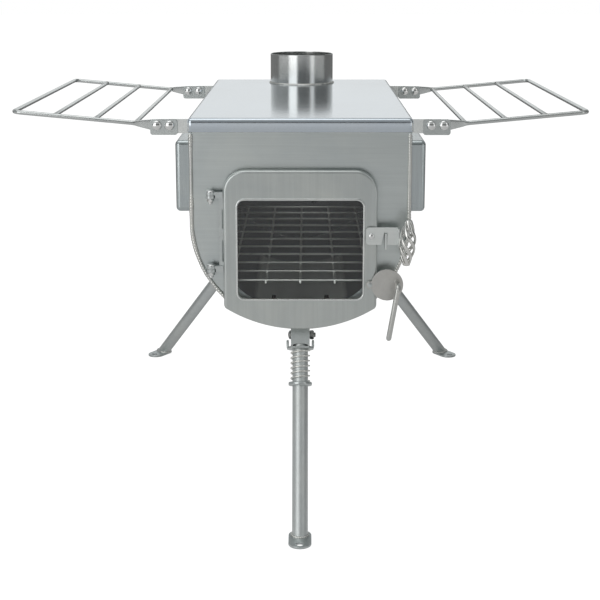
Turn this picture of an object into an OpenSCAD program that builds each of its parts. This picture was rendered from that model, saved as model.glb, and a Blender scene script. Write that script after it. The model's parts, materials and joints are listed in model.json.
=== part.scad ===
// Wood stove for a tent: a U-shaped firebox on three folding legs, with a glass door,
// a flue collar and two folding wire shelves. Millimetres, Z up, the ground at Z 0.
// X runs to the stove's right, Y to its back. Pieces are drawn in the stove frame, where
// the lid's front face is at Y 0, and then shifted so that the origin is under the middle.

/* [Lid and body] */
// Width of the lid over its turned-down rim
lid_w = 254; // [246:1:280]
// Length of the lid from front to back
lid_l = 508; // [470:1:560]
// Height of the cooking top above the ground
top_z = 467; // [450:1:500]
// Depth of the lid's rim
rim_h = 15.5; // [13:0.5:18]
// Outer bend radius of the lid's edges
bend_r = 4.5; // [3:0.5:6]
// Thickness of the body and lid sheet
sheet = 1.5; // [1:0.1:2]
// Thickness of the front and back plates
plate_t = 2; // [1.5:0.1:3]
// Straight height of the body's sides above the centre of its round bottom
side_h = 113.5; // [108:0.5:120]

/* [Flue collar] */
// Outer radius of the flue collar
flue_r = 45; // [38:0.5:50]
// Height of the collar above the lid
flue_h = 42; // [30:1:60]
// Sheet thickness of the collar
flue_wall = 1; // [0.8:0.1:2]
// Distance of the collar's centre from the back of the lid
flue_back = 53; // [52:0.5:80]
// Size of the weld ring round the collar's foot
flue_weld = 1.8; // [1:0.1:3]

/* [Door] */
// Width of the front plate left free beside the door
door_side = 38.2; // [35:0.5:42]
// Height of the door's top above the centre of the body's round bottom
door_rise = 61; // [58:0.5:68]
// Radius of the door's upper corners
door_corner = 25; // [18:0.5:32]
// Radius by which the door's curved lower edge is flatter than the body's round bottom
door_arc_more = 35; // [30:0.5:45]
// Height of that edge's centre above the centre of the body's round bottom
door_arc_rise = 37; // [34:0.5:40]
// Radius of the door's lower corners
door_foot_r = 6; // [4:0.5:8]
// Depth of the pressed door from its face to the end of its skirt
door_depth = 9; // [8:0.5:12]
// Bend radius of the door's edge
door_edge_r = 3; // [2.2:0.1:4]
// Gap between the door's skirt and the front plate
door_standoff = 4.8; // [4:0.1:6]

/* [Door window] */
// Width of the door beside its window
window_side = 16.2; // [15:0.1:21]
// Height of the window's top above the centre of the body's round bottom
window_rise = 27; // [20:0.5:28]
// Height of the window's lower edge above the body's lowest point
window_low = 38.2; // [37:0.1:44]
// Radius of the window's corners
window_corner = 7.3; // [5:0.1:12]
// Width of the raised lip round the window
lip_w = 1.8; // [1.2:0.1:3]
// Height of that lip above the door's face
lip_h = 1.2; // [0.6:0.1:1.8]
// Thickness of the door glass
glass_t = 4; // [3:0.1:4.5]
// Width by which the glass laps the window's edge
glass_lap = 5.5; // [4:0.1:5.5]

/* [Door opening and seal] */
// Width of the door beside the opening in the front plate
mouth_side = 14.5; // [13.5:0.1:17]
// Height of the opening's top above the centre of the body's round bottom
mouth_rise = 47; // [44:0.5:48]
// Height of the opening's curved lower edge above the body's lowest point
mouth_low = 20.2; // [18.2:0.1:25]
// Distance from the opening's edge to the seal rope
seal_offset = 6; // [4:0.1:7]
// Width of the seal rope
seal_w = 5; // [4:0.1:5.5]
// Height of the raised seat that the rope meets on the front plate
seat_h = 2.5; // [1.5:0.1:3]

/* [Hinges] */
// Distance from the door's side to the hinge axis
hinge_reach = 14.2; // [13:0.1:18]
// Distance of the hinge axis in front of the front plate
hinge_front = 9.8; // [8.5:0.1:12]
// Radius of the hinge barrels
hinge_r = 5.25; // [4.5:0.05:6]
// Height of one hinge barrel
hinge_h = 3.5; // [3:0.1:5]
// Height of the upper hinge's top above the centre of the body's round bottom
hinge_rise = 36; // [30:0.5:42]
// Distance between the two hinges
hinge_pitch = 85; // [75:1:95]
// Radius of the hinge bolts
hinge_bolt_r = 2.5; // [2:0.1:3]

/* [Latch] */
// Distance of the latch pivot inside the door's edge
latch_inset = 6.8; // [6.2:0.1:9]
// Height of the latch bar's middle below the centre of the body's round bottom
latch_drop = 13; // [8:0.5:20]
// Height of the latch bar
latch_h = 20; // [18:0.5:24]
// Thickness of the latch bar
latch_t = 2.5; // [2:0.1:3]
// Distance from the pivot to the middle of the catch
catch_reach = 16.2; // [15:0.1:20]
// Thickness of the catch
catch_t = 2; // [1.5:0.1:3]
// Outer radius of the wire cage handle
cage_r = 10; // [8:0.5:12]
// Length of the cage handle
cage_l = 53; // [44:1:64]
// Diameter of the cage wires
cage_wire = 3; // [2:0.1:3.2]
// Number of wires in the cage
cage_n = 5; // [4:1:6]
// Turn of each wire from the bottom to the top of the cage, in degrees
cage_twist = 330; // [180:5:400]

/* [Air flap] */
// Radius of the air flap disc
flap_r = 18.2; // [17:0.1:20]
// Thickness of the disc
flap_t = 1.5; // [1:0.1:2]
// Distance of the disc's pivot inside the door's edge
flap_inset = 8.2; // [7:0.1:10]
// Height of the pivot above the body's lowest point
flap_rise = 55.6; // [52:0.1:59]
// Outer radius of the air inlet tube
inlet_r = 7; // [5:0.1:7.5]
// Diameter of the flap's lever
lever_d = 6; // [4:0.1:7]
// Length of the lever's hanging part
lever_l = 60; // [50:1:70]
// Reach of the lever in front of the disc
lever_reach = 20; // [14:0.5:26]

/* [Side windows] */
// Distance of the side housings from the front of the lid
box_front = 45; // [35:1:60]
// Length of the side housings
box_l = 330; // [280:1:360]
// Height of the side housings
box_h = 83.5; // [70:0.5:90]
// Depth of the side housings outside the body
box_d = 20; // [14:0.5:26]
// Height of the housings' lower edge above the centre of the body's round bottom
box_rise = 3.5; // [2:0.5:8]
// Width of the housing's border round its glass
box_border = 14; // [11:0.5:18]

/* [Grate] */
// Diameter of the grate wire
grate_wire = 2.8; // [2:0.1:4]
// Height of the grate above the body's lowest point
grate_rise = 53.2; // [45:0.1:65]
// Spacing of the cross wires
grate_pitch = 46.7; // [38:0.1:60]
// Spacing of the lengthwise wires
grate_rail_pitch = 40; // [30:1:42]

/* [Legs] */
// Distance of the leg bolts from the outside of the body
leg_hang = 11.8; // [10.8:0.1:20]
// Distance of the front leg's bolt from the front of the lid
front_leg_y = 15; // [12:0.5:30]
// Distance of the rear legs' bolts from the back of the lid
rear_leg_back = 30; // [24:0.5:50]
// Angle between each rear leg and the vertical, round the body's axis
rear_spread = 33.7; // [28:0.1:38]
// Forward lean of the front leg
front_lean = 23.3; // [15:0.1:30]
// Backward lean of the rear legs
rear_lean = 31.3; // [20:0.1:35]
// Radius of the leg tubes
tube_r = 9; // [8:0.1:9.5]
// Radius of the leg bolts
leg_bolt_r = 3; // [2.5:0.1:4]
// Sheet thickness of the leg brackets
bracket_t = 1.5; // [1.2:0.1:2]
// Length of the spring that pushes the lock ring up
spring_l = 37.1; // [32:0.1:44]
// Wire diameter of the spring
spring_wire = 1.8; // [1.2:0.1:2]
// Outer radius of the spring
spring_r = 11.5; // [11.3:0.1:12.5]
// Number of turns in the spring
spring_turns = 6; // [4:0.5:7]
// Thickness of the foot plates
foot_t = 3; // [2:0.1:5]
// Radius of the foot plates' round ends
foot_r = 13; // [12:0.5:16]
// Distance between the centres of those ends
foot_l = 20; // [16:0.5:26]
// Radius of the stake holes
stake_r = 4.3; // [3:0.1:5]

/* [Shelves] */
// Distance of the front shelf arms from the front of the lid
shelf_front = 20; // [16:0.5:40]
// Distance between the front and rear shelf arms
shelf_l = 410; // [370:1:430]
// Distance of the inner shelf rivet outside the lid
shelf_reach = 21; // [19:0.5:26]
// Height of the shelf rivets below the cooking top
shelf_drop = 10; // [8.5:0.5:11]
// Distance between the two rivets of a shelf link
link_pitch = 14.5; // [14.5:0.1:18]
// Radius of the round ends of the ears and leaves
leaf_r = 7; // [6:0.1:7]
// Thickness of the ears and leaves
leaf_t = 3; // [2:0.1:4]
// Sheet thickness of the shelf links
link_t = 1.5; // [1:0.1:2]
// Radius of the shelf rivets
rivet_r = 2.5; // [2:0.1:3]
// Diameter of the shelf wire
shelf_wire = 5; // [4:0.1:6]
// Reach of the shelf from its outer rivets
rack_reach = 163.2; // [150:0.5:180]
// Spacing of the shelf's bars
rack_pitch = 46; // [40:0.5:50]
// Upward tilt of the shelf, in degrees
rack_tilt = 5.3; // [0:0.1:8]

/* [Hidden] */
$fn = 96;

// Clearances, and the overrun of every cut
lid_gap = 0.3;
face_gap = 0.3;
run_fit = 0.05;
cut = 5;
lap_share = 0.1;
rim_lap_share = 0.7;

// Body and lid
rim_inner = bend_r - sheet;
axis_z = top_z - sheet - rim_inner - side_h;
body_top = axis_z + side_h;
body_r = lid_w / 2 - sheet - lid_gap;
front_y = sheet + lid_gap;
shell_front = front_y + plate_t;
back_y = lid_l - sheet - lid_gap;
shell_back = back_y - plate_t;
weld_share = 0.95;
weld_r = weld_share * plate_t;
flue_y = lid_l - flue_back;

// Door, its window and its seal
door_back = front_y - door_standoff;
door_face = door_back - door_depth;
door_inside = door_face + sheet;
door_half_w = body_r - door_side;
door_arc_r = body_r + door_arc_more;
door_shape = [door_half_w, axis_z + door_rise, door_corner, axis_z + door_arc_rise, door_arc_r, door_foot_r];
mouth_half_w = door_half_w - mouth_side;
mouth_r = body_r - mouth_low;
mouth_corner = 14;
mouth_foot_r = 10;
mouth_shape = [mouth_half_w, axis_z + mouth_rise, mouth_corner, axis_z, mouth_r, mouth_foot_r];
window_w = 2 * (door_half_w - window_side);
window_h = window_rise + body_r - window_low;
window_z = axis_z + window_rise - window_h / 2;
tape_t = 0.8;
glass_corner = 3;
glass_front = door_inside + tape_t;
glass_back = glass_front + glass_t;
glass_frame_t = 1;
glass_frame_lap = 3.5;
frame_back = glass_back + glass_frame_t;
seal_out = seal_offset + seal_w;
seat_face = front_y - seat_h;
seat_margin_share = 0.18;
frame_hole_w = window_w + 2 * (glass_lap - glass_frame_lap);
frame_hole_h = window_h + 2 * (glass_lap - glass_frame_lap);
clip_w = 5;
clip_t = 1.2;
clip_foot = 8;
clip_finger = 5;
clip_x = 15;
clip_screw_r = 1.6;

// Hinges
hinge_x = -(door_half_w + hinge_reach);
hinge_y = front_y - hinge_front;
hinge_tops = [axis_z + hinge_rise, axis_z + hinge_rise - hinge_pitch];
hinge_head_r = 4.6;
hinge_head_h = 2.4;
hinge_nut_r = 4.4;
hinge_nut_h = 3.6;
hinge_tail = 3;
arm_gap = 0.4;
arm_h = 2 * hinge_h;
arm_w = 5;
lug_w = 8;
strip_w = 4.9;
strip_slot_w = 1.4;
strip_slot_shares = [[0.06, 0.38], [0.55, 0.83]];

// Latch
latch_x = door_half_w - latch_inset;
latch_z = axis_z - latch_drop;
latch_back = door_face - lip_h - face_gap;
latch_front = latch_back - latch_t;
latch_tail = 6.2;
latch_corner = 4;
latch_screw_r = 2;
latch_spacer_r = 4.5;
latch_head_r = 3.1;
latch_head_h = 2.2;
catch_x = latch_x + catch_reach;
catch_up = 2.8;
catch_down = 15.5;
catch_proud = 0.4;
slot_gap = 0.7;
slot_flare = 4.2;
slot_roof = 1.4;
flange_x = catch_x + 12.8;
flange_front = latch_front - 8.7;
cage_x = flange_x + latch_t + 8;
cage_y = latch_front - 14.2;
cage_bottom = latch_z - latch_h / 2 - 21;
cage_cap_r = 4.2;
cage_cap_h = 3;
cage_neck_r = 2.7;
cage_swell = 0.7;
cage_rings = 22;
cage_sides = 6;

// Air flap
flap_x = door_half_w - flap_inset;
flap_z = axis_z - body_r + flap_rise;
flap_spacer = 2.2;
flap_spacer_r = 5;
flap_back = door_face - flap_spacer;
flap_front = flap_back - flap_t;
flap_rivet_r = 2;
flap_head_r = 4;
flap_head_h = 1.6;
flap_offset = 19.9;
flap_center_x = flap_x + flap_offset;
inlet_x = flap_x + flap_offset - 4.2;
inlet_z = flap_z + 3.6;
inlet_wall = 1.5;
inlet_front = flap_back + face_gap;
lever_x = flap_center_x + 11.2;
lever_z = flap_z + 2.3;
lever_bend = 6;
lever_tilt = 9.5;

// Side windows
box_bend_r = 5;
box_low = axis_z + box_rise;
box_mid_y = box_front + box_l / 2;
box_mid_z = box_low + box_h / 2;
box_cut_margin = 10;
side_glass_lap = 6;
side_frame_w = 9;

// Grate
grate_drop = body_r - grate_rise;
grate_z = axis_z - grate_drop;
grate_start = 15.2;
grate_count = floor((shell_back - shell_front - 2 * grate_start) / grate_pitch);
grate_weld = 0.2;
grate_seat_r = body_r - sheet - run_fit;
grate_half = sqrt(pow(grate_seat_r, 2) - pow(grate_drop + grate_wire / 2, 2));
grate_side = floor(grate_half / grate_rail_pitch);
grate_rails = [-grate_side:grate_side];

// Legs: front, rear left and rear right
leg_ids = ["front", "rear_left", "rear_right"];
leg_spins = [0, rear_spread, -rear_spread];
leg_turns = [0, 180, 180];
leg_leans = [front_lean, rear_lean, rear_lean];
leg_ys = [front_leg_y, lid_l - rear_leg_back, lid_l - rear_leg_back];
foot_splay = 33;
foot_turns = [0, -foot_splay, foot_splay];
leg_drop = body_r + leg_hang;
bracket_gap = 0.4;
bracket_in = tube_r + bracket_gap;
bracket_out = bracket_in + bracket_t;
bracket_web = tube_r + face_gap;
bracket_r = 14;
bracket_arch = 2.5;
bracket_cut_backs = [15, 22.5, 22.5];
bolt_head_r = 5;
bolt_head_h = 3.4;
bolt_nut_r = 5.4;
bolt_nut_h = 5;
ring_t = 3;
ring_top = bracket_r + face_gap;
ring_bottom = ring_top + ring_t;
ring_half_w = 12.2;
ring_fit = 0.08;
ear_out = bracket_out + 5.3;
ear_thick = 2.9;
ear_w = 8;
ear_top = 6.5;
spring_top = ring_bottom + face_gap;
spring_bottom = spring_top + spring_l;
seat_top = spring_bottom + face_gap;
seat_t = 4.5;
seat_r = 13.65;
spring_rings = 8;
spring_sides = 6;
stake_at = 25;
function bolt_z(i) = axis_z - leg_drop * cos(leg_spins[i]);
function bolt_at(i) = [-leg_drop * sin(leg_spins[i]), leg_ys[i], bolt_z(i)];
function leg_dir(i) = [
    -cos(leg_leans[i]) * sin(leg_spins[i]),
    -cos(leg_turns[i]) * sin(leg_leans[i]),
    -cos(leg_leans[i]) * cos(leg_spins[i]),
];
function leg_len(i) = (bolt_z(i) - foot_t) / (cos(leg_leans[i]) * cos(leg_spins[i]));
function foot_at(i) = bolt_at(i) + leg_len(i) * leg_dir(i);

// Shelves
shelf_ys = [shelf_front, shelf_front + shelf_l];
shelf_z = top_z - shelf_drop;
inner_x = lid_w / 2 + shelf_reach;
outer_x = inner_x + link_pitch;
link_gap = 0.3;
link_in = leaf_t / 2 + link_gap;
link_out = link_in + link_t;
link_up = 6.6;
link_fold = 9.3;
link_inner_end = 9;
link_outer_end = 7.5;
link_l = link_inner_end + link_pitch + link_outer_end;
link_corner = 3;
rivet_head_r = 5.4;
rivet_head_h = 3.2;
leaf_l = 23.3;
leaf_weld = 3;
rod_r = shelf_wire / 2;
leaf_end_share = 1.3;
leaf_end_r = leaf_end_share * rod_r;
bar_share = 0.94;
bar_r = bar_share * rod_r;
rack_corner = 8;
rack_bars = [1, 2, 3];

// Middle of the whole stove between its front foot's tip and its rear feet
front_reach = foot_at(0).y - foot_l - foot_r;
rear_reach = foot_at(1).y + foot_r;
mid_y = (front_reach + rear_reach) / 2;

steel = [0.72, 0.75, 0.76];
satin = [0.60, 0.64, 0.65];
polished = [0.82, 0.86, 0.88];
dark = [0.16, 0.17, 0.17];
rope = [0.78, 0.76, 0.70];

// Stove frame to part frame
module stove() { translate([0, -mid_y, 0]) children(); }

// Left or right half: drawn on the right, mirrored for the left
module side(s) { mirror([s < 0 ? 1 : 0, 0, 0]) children(); }

// A flat outline in X and Z, given depth from y towards the front
module facing(y) { translate([0, y, 0]) rotate([90, 0, 0]) children(); }
module slab(y0, y1) { facing(y1) linear_extrude(y1 - y0) children(); }
module frame(y0, y1) {
    difference() {
        slab(y0, y1) children(0);
        slab(y0 - cut, y1 + cut) children([1:$children - 1]);
    }
}

// Round bars along X and Y
module bar_x(r, x0, x1) { translate([x0, 0, 0]) rotate([0, 90, 0]) cylinder(r = r, h = x1 - x0); }
module bar_y(r, y0, y1) { translate([0, y1, 0]) rotate([90, 0, 0]) cylinder(r = r, h = y1 - y0); }

// Slice of a disc between two angles, up to half of it, with its tip drawn back to lap what it meets
function toward(a) = [cos(a), sin(a)];
module pie(r, from, to) {
    mid = (from + to) / 2;
    intersection() {
        circle(r);
        polygon([
            -lap_share * r * toward(mid),
            r * toward(from),
            2 * r * toward(from),
            2 * r * toward(mid),
            2 * r * toward(to),
            r * toward(to),
        ]);
    }
}

// Outline of the body: a round bottom under straight sides
module u_shape(r, top) {
    translate([0, axis_z]) pie(r, 180, 360);
    translate([-r, axis_z]) square([2 * r, top - axis_z]);
}

// Rectangle with round corners, centred
module rounded(w, h, r) {
    square([w - 2 * r, h], center = true);
    square([w, h - 2 * r], center = true);
    for (i = [-1, 1], j = [-1, 1]) translate([i * (w / 2 - r), j * (h / 2 - r)]) circle(r);
}

// Arched outline, [half width, top, top corner, arc centre, arc radius, foot corner], drawn in by inset
function foot_of(a, inset) = max(a[5] - inset, 0);
function foot_x(a, inset) = a[0] - inset - foot_of(a, inset);
function foot_z(a, inset) =
    a[3] - sqrt(pow(a[4] - inset - foot_of(a, inset), 2) - pow(foot_x(a, inset), 2));
function foot_lean(a, inset) = atan2(a[3] - foot_z(a, inset), foot_x(a, inset));
module arch(a, inset = 0) {
    half = a[0] - inset;
    corner = a[2] - inset;
    arc = a[4] - inset;
    foot = foot_of(a, inset);
    low = foot_z(a, inset);
    lean = foot_lean(a, inset);
    translate([-half, low]) square([2 * half, a[1] - a[2] - low]);
    translate([-half + corner, a[1] - a[2]]) square([2 * (half - corner), corner]);
    translate([half - corner, a[1] - a[2]]) pie(corner, 0, 90);
    translate([corner - half, a[1] - a[2]]) pie(corner, 90, 180);
    translate([0, a[3]]) intersection() {
        circle(arc);
        polygon([
            [-foot_x(a, inset), low - a[3]],
            2 * arc * toward(180 + lean),
            2 * arc * toward(270),
            2 * arc * toward(-lean),
            [foot_x(a, inset), low - a[3]],
            [0, low - a[3] + lap_share * half],
        ]);
    }
    if (foot > 0) {
        translate([foot_x(a, inset), low]) pie(foot, -lean, 0);
        translate([-foot_x(a, inset), low]) pie(foot, 180, 180 + lean);
    }
}

// Section of a sheet that bends round the origin and runs down as a wall, with some flat before the bend
module bent_sheet(r, t, h, flat) {
    difference() {
        intersection() {
            circle(r);
            square(r);
        }
        circle(r - t);
    }
    translate([r - t, r - h]) square([t, h - r]);
    if (flat > 0) translate([-flat, r - t]) square([flat, t]);
}

// Shallow pressed tray, open below, with bent edges and corners
module tray(w, l, h, r, t) {
    translate([r - w / 2, r - l / 2, h - t]) cube([w - 2 * r, l - 2 * r, t]);
    for (k = [0:3]) {
        across = (k % 2 == 0 ? w : l) / 2 - r;
        beside = (k % 2 == 0 ? l : w) / 2 - r;
        rotate(90 * k) translate([across, beside, h - r]) {
            rotate([90, 0, 0]) linear_extrude(2 * beside) bent_sheet(r, t, h, 0);
            rotate_extrude(angle = 90) bent_sheet(r, t, h, 0);
        }
    }
}

// Bent rim along an arched outline, its front at height h
module arch_rim(a, r, t, h) {
    low = foot_z(a, 0);
    lean = foot_lean(a, 0);
    flat = rim_lap_share * (a[5] - r);
    module straight(at, turn, long) {
        translate([at.x, at.y, h - r]) rotate(turn) rotate([90, 0, 0])
            linear_extrude(long) bent_sheet(r, t, h, flat);
    }
    module curve(at, radius, from, turn) {
        translate([at.x, at.y, h - r]) rotate(from) rotate_extrude(angle = turn)
            translate([radius - r, 0]) bent_sheet(r, t, h, flat);
    }
    straight([a[0] - r, a[1] - a[2]], 0, a[1] - a[2] - low);
    straight([r - a[0], low], 180, a[1] - a[2] - low);
    straight([a[2] - a[0], a[1] - r], 90, 2 * (a[0] - a[2]));
    curve([a[0] - a[2], a[1] - a[2]], a[2], 0, 90);
    curve([a[2] - a[0], a[1] - a[2]], a[2], 90, 90);
    curve([foot_x(a, 0), low], a[5], -lean, lean);
    curve([-foot_x(a, 0), low], a[5], 180, lean);
    curve([0, a[3]], a[4], 180 + lean, 180 - 2 * lean);
}

// Tube of triangles along a path that winds round the Z axis
function unit(v) = v / norm(v);
function tangent(path, i) = unit(path[min(i + 1, len(path) - 1)] - path[max(i - 1, 0)]);
function ring_points(path, i, r, n) =
    let (t = tangent(path, i), out = [path[i].x, path[i].y, 0], u = unit(out - (out * t) * t), v = cross(t, u))
    [for (k = [0:n - 1]) path[i] + r * (cos(360 * k / n) * u + sin(360 * k / n) * v)];
module wound_tube(path, r, n) {
    last = len(path) - 1;
    points = [for (i = [0:last]) each ring_points(path, i, r, n)];
    walls = [for (i = [0:last - 1], k = [0:n - 1]) let (m = (k + 1) % n)
        each [[i * n + k, (i + 1) * n + m, i * n + m], [i * n + k, (i + 1) * n + k, (i + 1) * n + m]]];
    caps = [for (k = [1:n - 2]) each [[0, k, k + 1], [last * n, last * n + k + 1, last * n + k]]];
    polyhedron(points, concat(walls, caps));
}
function least_gap(path, r, skip) =
    min([for (i = [0:len(path) - 1 - skip], j = [i + skip:len(path) - 1]) norm(path[i] - path[j])]) - 2 * r;

// Body
module body_shell() stove() color(steel)
    difference() {
        frame(shell_front, shell_back) {
            u_shape(body_r, body_top);
            u_shape(body_r - sheet, body_top + cut);
        }
        translate([-body_r - cut, box_front + box_cut_margin, box_low + box_cut_margin])
            cube([2 * (body_r + cut), box_l - 2 * box_cut_margin, box_h - 2 * box_cut_margin]);
    }

// Outline of the front and back plates: narrower inside the lid's rim, clear of its corner bends
weld_top = top_z - rim_h - lid_gap;
module plate_shape() {
    u_shape(body_r, weld_top);
    translate([rim_inner - body_r, axis_z]) square([2 * (body_r - rim_inner), body_top - axis_z]);
}

// Weld bead along the outline of a plate whose outer face is at y
module weld_bead(y) {
    mid_r = body_r - weld_r;
    translate([0, y, axis_z]) rotate([90, 0, 0]) rotate([0, 0, 180]) rotate_extrude(angle = 180)
        translate([mid_r, 0]) circle(weld_r, $fn = 48);
    for (i = [-1, 1]) translate([i * mid_r, y, axis_z]) cylinder(r = weld_r, h = weld_top - axis_z, $fn = 48);
}

module front_plate() stove() color(steel)
    difference() {
        union() {
            frame(front_y, shell_front) {
                plate_shape();
                arch(mouth_shape);
                translate([inlet_x, inlet_z]) circle(inlet_r - inlet_wall);
            }
            weld_bead(front_y);
        }
        translate([inlet_x, 0, inlet_z]) bar_y(inlet_r, inlet_front - cut, front_y);
    }

module back_plate() stove() color(steel) {
    slab(shell_back, back_y) plate_shape();
    weld_bead(back_y);
}

module lid() stove() color(polished)
    difference() {
        translate([0, lid_l / 2, top_z - rim_h]) tray(lid_w, lid_l, rim_h, bend_r, sheet);
        translate([0, flue_y, top_z - cut]) cylinder(r = flue_r - flue_wall, h = 2 * cut);
    }

module flue_collar() stove() color(satin)
    translate([0, flue_y, top_z]) difference() {
        union() {
            cylinder(r = flue_r, h = flue_h);
            rotate_extrude() translate([flue_r, 0]) intersection() {
                circle(flue_weld, $fn = 48);
                translate([-flue_wall, 0]) square([flue_wall + flue_weld, flue_weld]);
            }
        }
        translate([0, 0, -cut]) cylinder(r = flue_r - flue_wall, h = flue_h + 2 * cut);
    }

module door_seat() stove() color(steel)
    frame(seat_face, front_y) {
        arch(mouth_shape, -seal_out + seat_margin_share * seal_w);
        arch(mouth_shape, -seal_offset - seat_margin_share * seal_w);
    }

module air_inlet_tube() stove() color(satin)
    translate([inlet_x, 0, inlet_z]) difference() {
        bar_y(inlet_r, inlet_front, front_y);
        bar_y(inlet_r - inlet_wall, inlet_front - cut, front_y + cut);
    }

// Side windows
module side_box(s) stove() color(satin) side(s)
    translate([body_r, box_mid_y, box_mid_z]) rotate([90, 0, 90]) difference() {
        tray(box_l, box_h, box_d, box_bend_r, sheet);
        linear_extrude(box_d + cut)
            rounded(box_l - 2 * box_border, box_h - 2 * box_border, box_bend_r);
    }
module side_box_left() side_box(-1);
module side_box_right() side_box(1);

module side_glass(s) stove() color(dark) side(s)
    translate([body_r + box_d - sheet - glass_t, box_mid_y, box_mid_z]) rotate([90, 0, 90])
        linear_extrude(glass_t) rounded(
            box_l - 2 * (box_border - side_glass_lap),
            box_h - 2 * (box_border - side_glass_lap),
            box_bend_r);
module side_glass_left() side_glass(-1);
module side_glass_right() side_glass(1);

module side_frame(s) stove() color(steel) side(s)
    translate([body_r + box_d - 2 * sheet - glass_t, box_mid_y, box_mid_z]) rotate([90, 0, 90])
        linear_extrude(sheet) difference() {
            rounded(box_l - 2 * sheet - 2 * face_gap, box_h - 2 * sheet - 2 * face_gap, box_bend_r);
            rounded(
                box_l - 2 * (box_border - side_glass_lap + side_frame_w),
                box_h - 2 * (box_border - side_glass_lap + side_frame_w),
                box_bend_r);
        }
module side_frame_left() side_frame(-1);
module side_frame_right() side_frame(1);

// Wire grate: cross wires that stand on the curved wall, and rails under them
module fire_grate() stove() color(satin) {
    first = shell_front + grate_start;
    last = first + grate_count * grate_pitch;
    for (i = [0:grate_count]) translate([0, first + i * grate_pitch, grate_z])
        bar_x(grate_wire / 2, -grate_half, grate_half);
    for (i = grate_rails) translate([i * grate_rail_pitch, 0, grate_z + grate_weld - grate_wire])
        bar_y(grate_wire / 2, first - grate_wire, last + grate_wire);
}

// Hinges
module hinge_lugs() stove() color(steel)
    for (top = hinge_tops) translate([hinge_x, hinge_y, top - 2 * hinge_h - face_gap]) difference() {
        union() {
            cylinder(r = hinge_r, h = hinge_h);
            translate([-lug_w / 2, 0, 0]) cube([lug_w, hinge_front, hinge_h]);
        }
        translate([0, 0, -cut]) cylinder(r = hinge_bolt_r + run_fit, h = hinge_h + 2 * cut);
    }

module hinge_bolts() stove() color(satin)
    for (top = hinge_tops) translate([hinge_x, hinge_y, top]) {
        nut_top = -2 * hinge_h - face_gap;
        translate([0, 0, nut_top - hinge_nut_h - hinge_tail])
            cylinder(r = hinge_bolt_r, h = hinge_tail + hinge_nut_h - nut_top + run_fit);
        translate([0, 0, nut_top - hinge_nut_h]) cylinder(r = hinge_nut_r, h = hinge_nut_h, $fn = 6);
        translate([0, 0, run_fit]) cylinder(r1 = hinge_head_r, r2 = hinge_bolt_r, h = hinge_head_h);
    }

module hinge_knuckles() stove() color(satin)
    for (top = hinge_tops) translate([hinge_x, hinge_y, top]) difference() {
        union() {
            translate([0, 0, -hinge_h]) cylinder(r = hinge_r, h = hinge_h);
            translate([0, -arm_w / 2, -hinge_h]) cube([hinge_reach, arm_w, hinge_h]);
            translate([hinge_r + arm_gap, -arm_w / 2, -arm_h])
                cube([hinge_reach - hinge_r - arm_gap, arm_w, arm_h]);
        }
        translate([0, 0, -hinge_h - cut]) cylinder(r = hinge_bolt_r + run_fit, h = hinge_h + 2 * cut);
    }

module hinge_strip() stove() color(satin) {
    low = hinge_tops[1];
    high = hinge_tops[0] - arm_h;
    slab(hinge_y, hinge_y + sheet) difference() {
        translate([-door_half_w - strip_w, low]) square([strip_w, high - low]);
        for (share = strip_slot_shares)
            translate([-door_half_w - strip_slot_w, low + share[0] * (high - low)])
                square([strip_slot_w + cut, (share[1] - share[0]) * (high - low)]);
    }
}

// Door
module door_skin() stove() color(satin) {
    facing(door_back) difference() {
        union() {
            translate([0, 0, door_depth - sheet]) linear_extrude(sheet)
                arch(door_shape, door_edge_r + rim_lap_share / 2 * (door_foot_r - door_edge_r));
            arch_rim(door_shape, door_edge_r, sheet, door_depth);
            translate([0, window_z, door_depth - sheet]) linear_extrude(sheet + lip_h)
                rounded(window_w + 2 * lip_w, window_h + 2 * lip_w, window_corner + lip_w);
        }
        translate([0, window_z, 0]) linear_extrude(door_depth + lip_h + cut)
            rounded(window_w, window_h, window_corner);
        translate([latch_x, latch_z, 0]) cylinder(r = latch_screw_r, h = door_depth + cut);
        translate([flap_x, flap_z, 0]) cylinder(r = flap_rivet_r, h = door_depth + cut);
    }
}

module window_glass() stove() color(dark)
    slab(glass_front, glass_back) translate([0, window_z])
        rounded(window_w + 2 * glass_lap, window_h + 2 * glass_lap, glass_corner);

module glass_tape() stove() color(rope)
    slab(door_inside, glass_front) translate([0, window_z]) difference() {
        rounded(window_w + 2 * glass_lap, window_h + 2 * glass_lap, glass_corner);
        rounded(window_w, window_h, window_corner);
    }

// Frame that holds the glass against the door from behind
module glass_frame() stove() color(satin)
    frame(glass_back, frame_back) {
        arch(door_shape, sheet + face_gap);
        translate([0, window_z]) rounded(frame_hole_w, frame_hole_h, window_corner);
    }

// Glass clips: a foot on the frame, a step down and a finger on the glass
module glass_clip(up) {
    edge = frame_hole_h / 2 - face_gap;
    module strip(y0, y1, z0, z1) { slab(y0, y1) translate([-clip_w / 2, z0]) square([clip_w, z1 - z0]); }
    mirror([0, 0, up < 0 ? 1 : 0]) {
        strip(glass_back, glass_back + clip_t, edge - clip_finger, edge);
        strip(glass_back, frame_back + clip_t, edge - clip_t, edge);
        strip(frame_back, frame_back + clip_t, edge - clip_t, edge + clip_foot);
        translate([0, 0, edge + clip_foot / 2])
            bar_y(clip_screw_r, frame_back + clip_t, frame_back + 2 * clip_t);
    }
}
module glass_clips() stove() color(polished) translate([0, 0, window_z]) {
    translate([clip_x, 0, 0]) glass_clip(1);
    for (i = [-1, 1]) translate([i * 2 * clip_x, 0, 0]) glass_clip(-1);
}

module seal_rope() stove() color(rope)
    frame(frame_back, seat_face - face_gap) {
        arch(mouth_shape, -seal_out);
        arch(mouth_shape, -seal_offset);
    }

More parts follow.
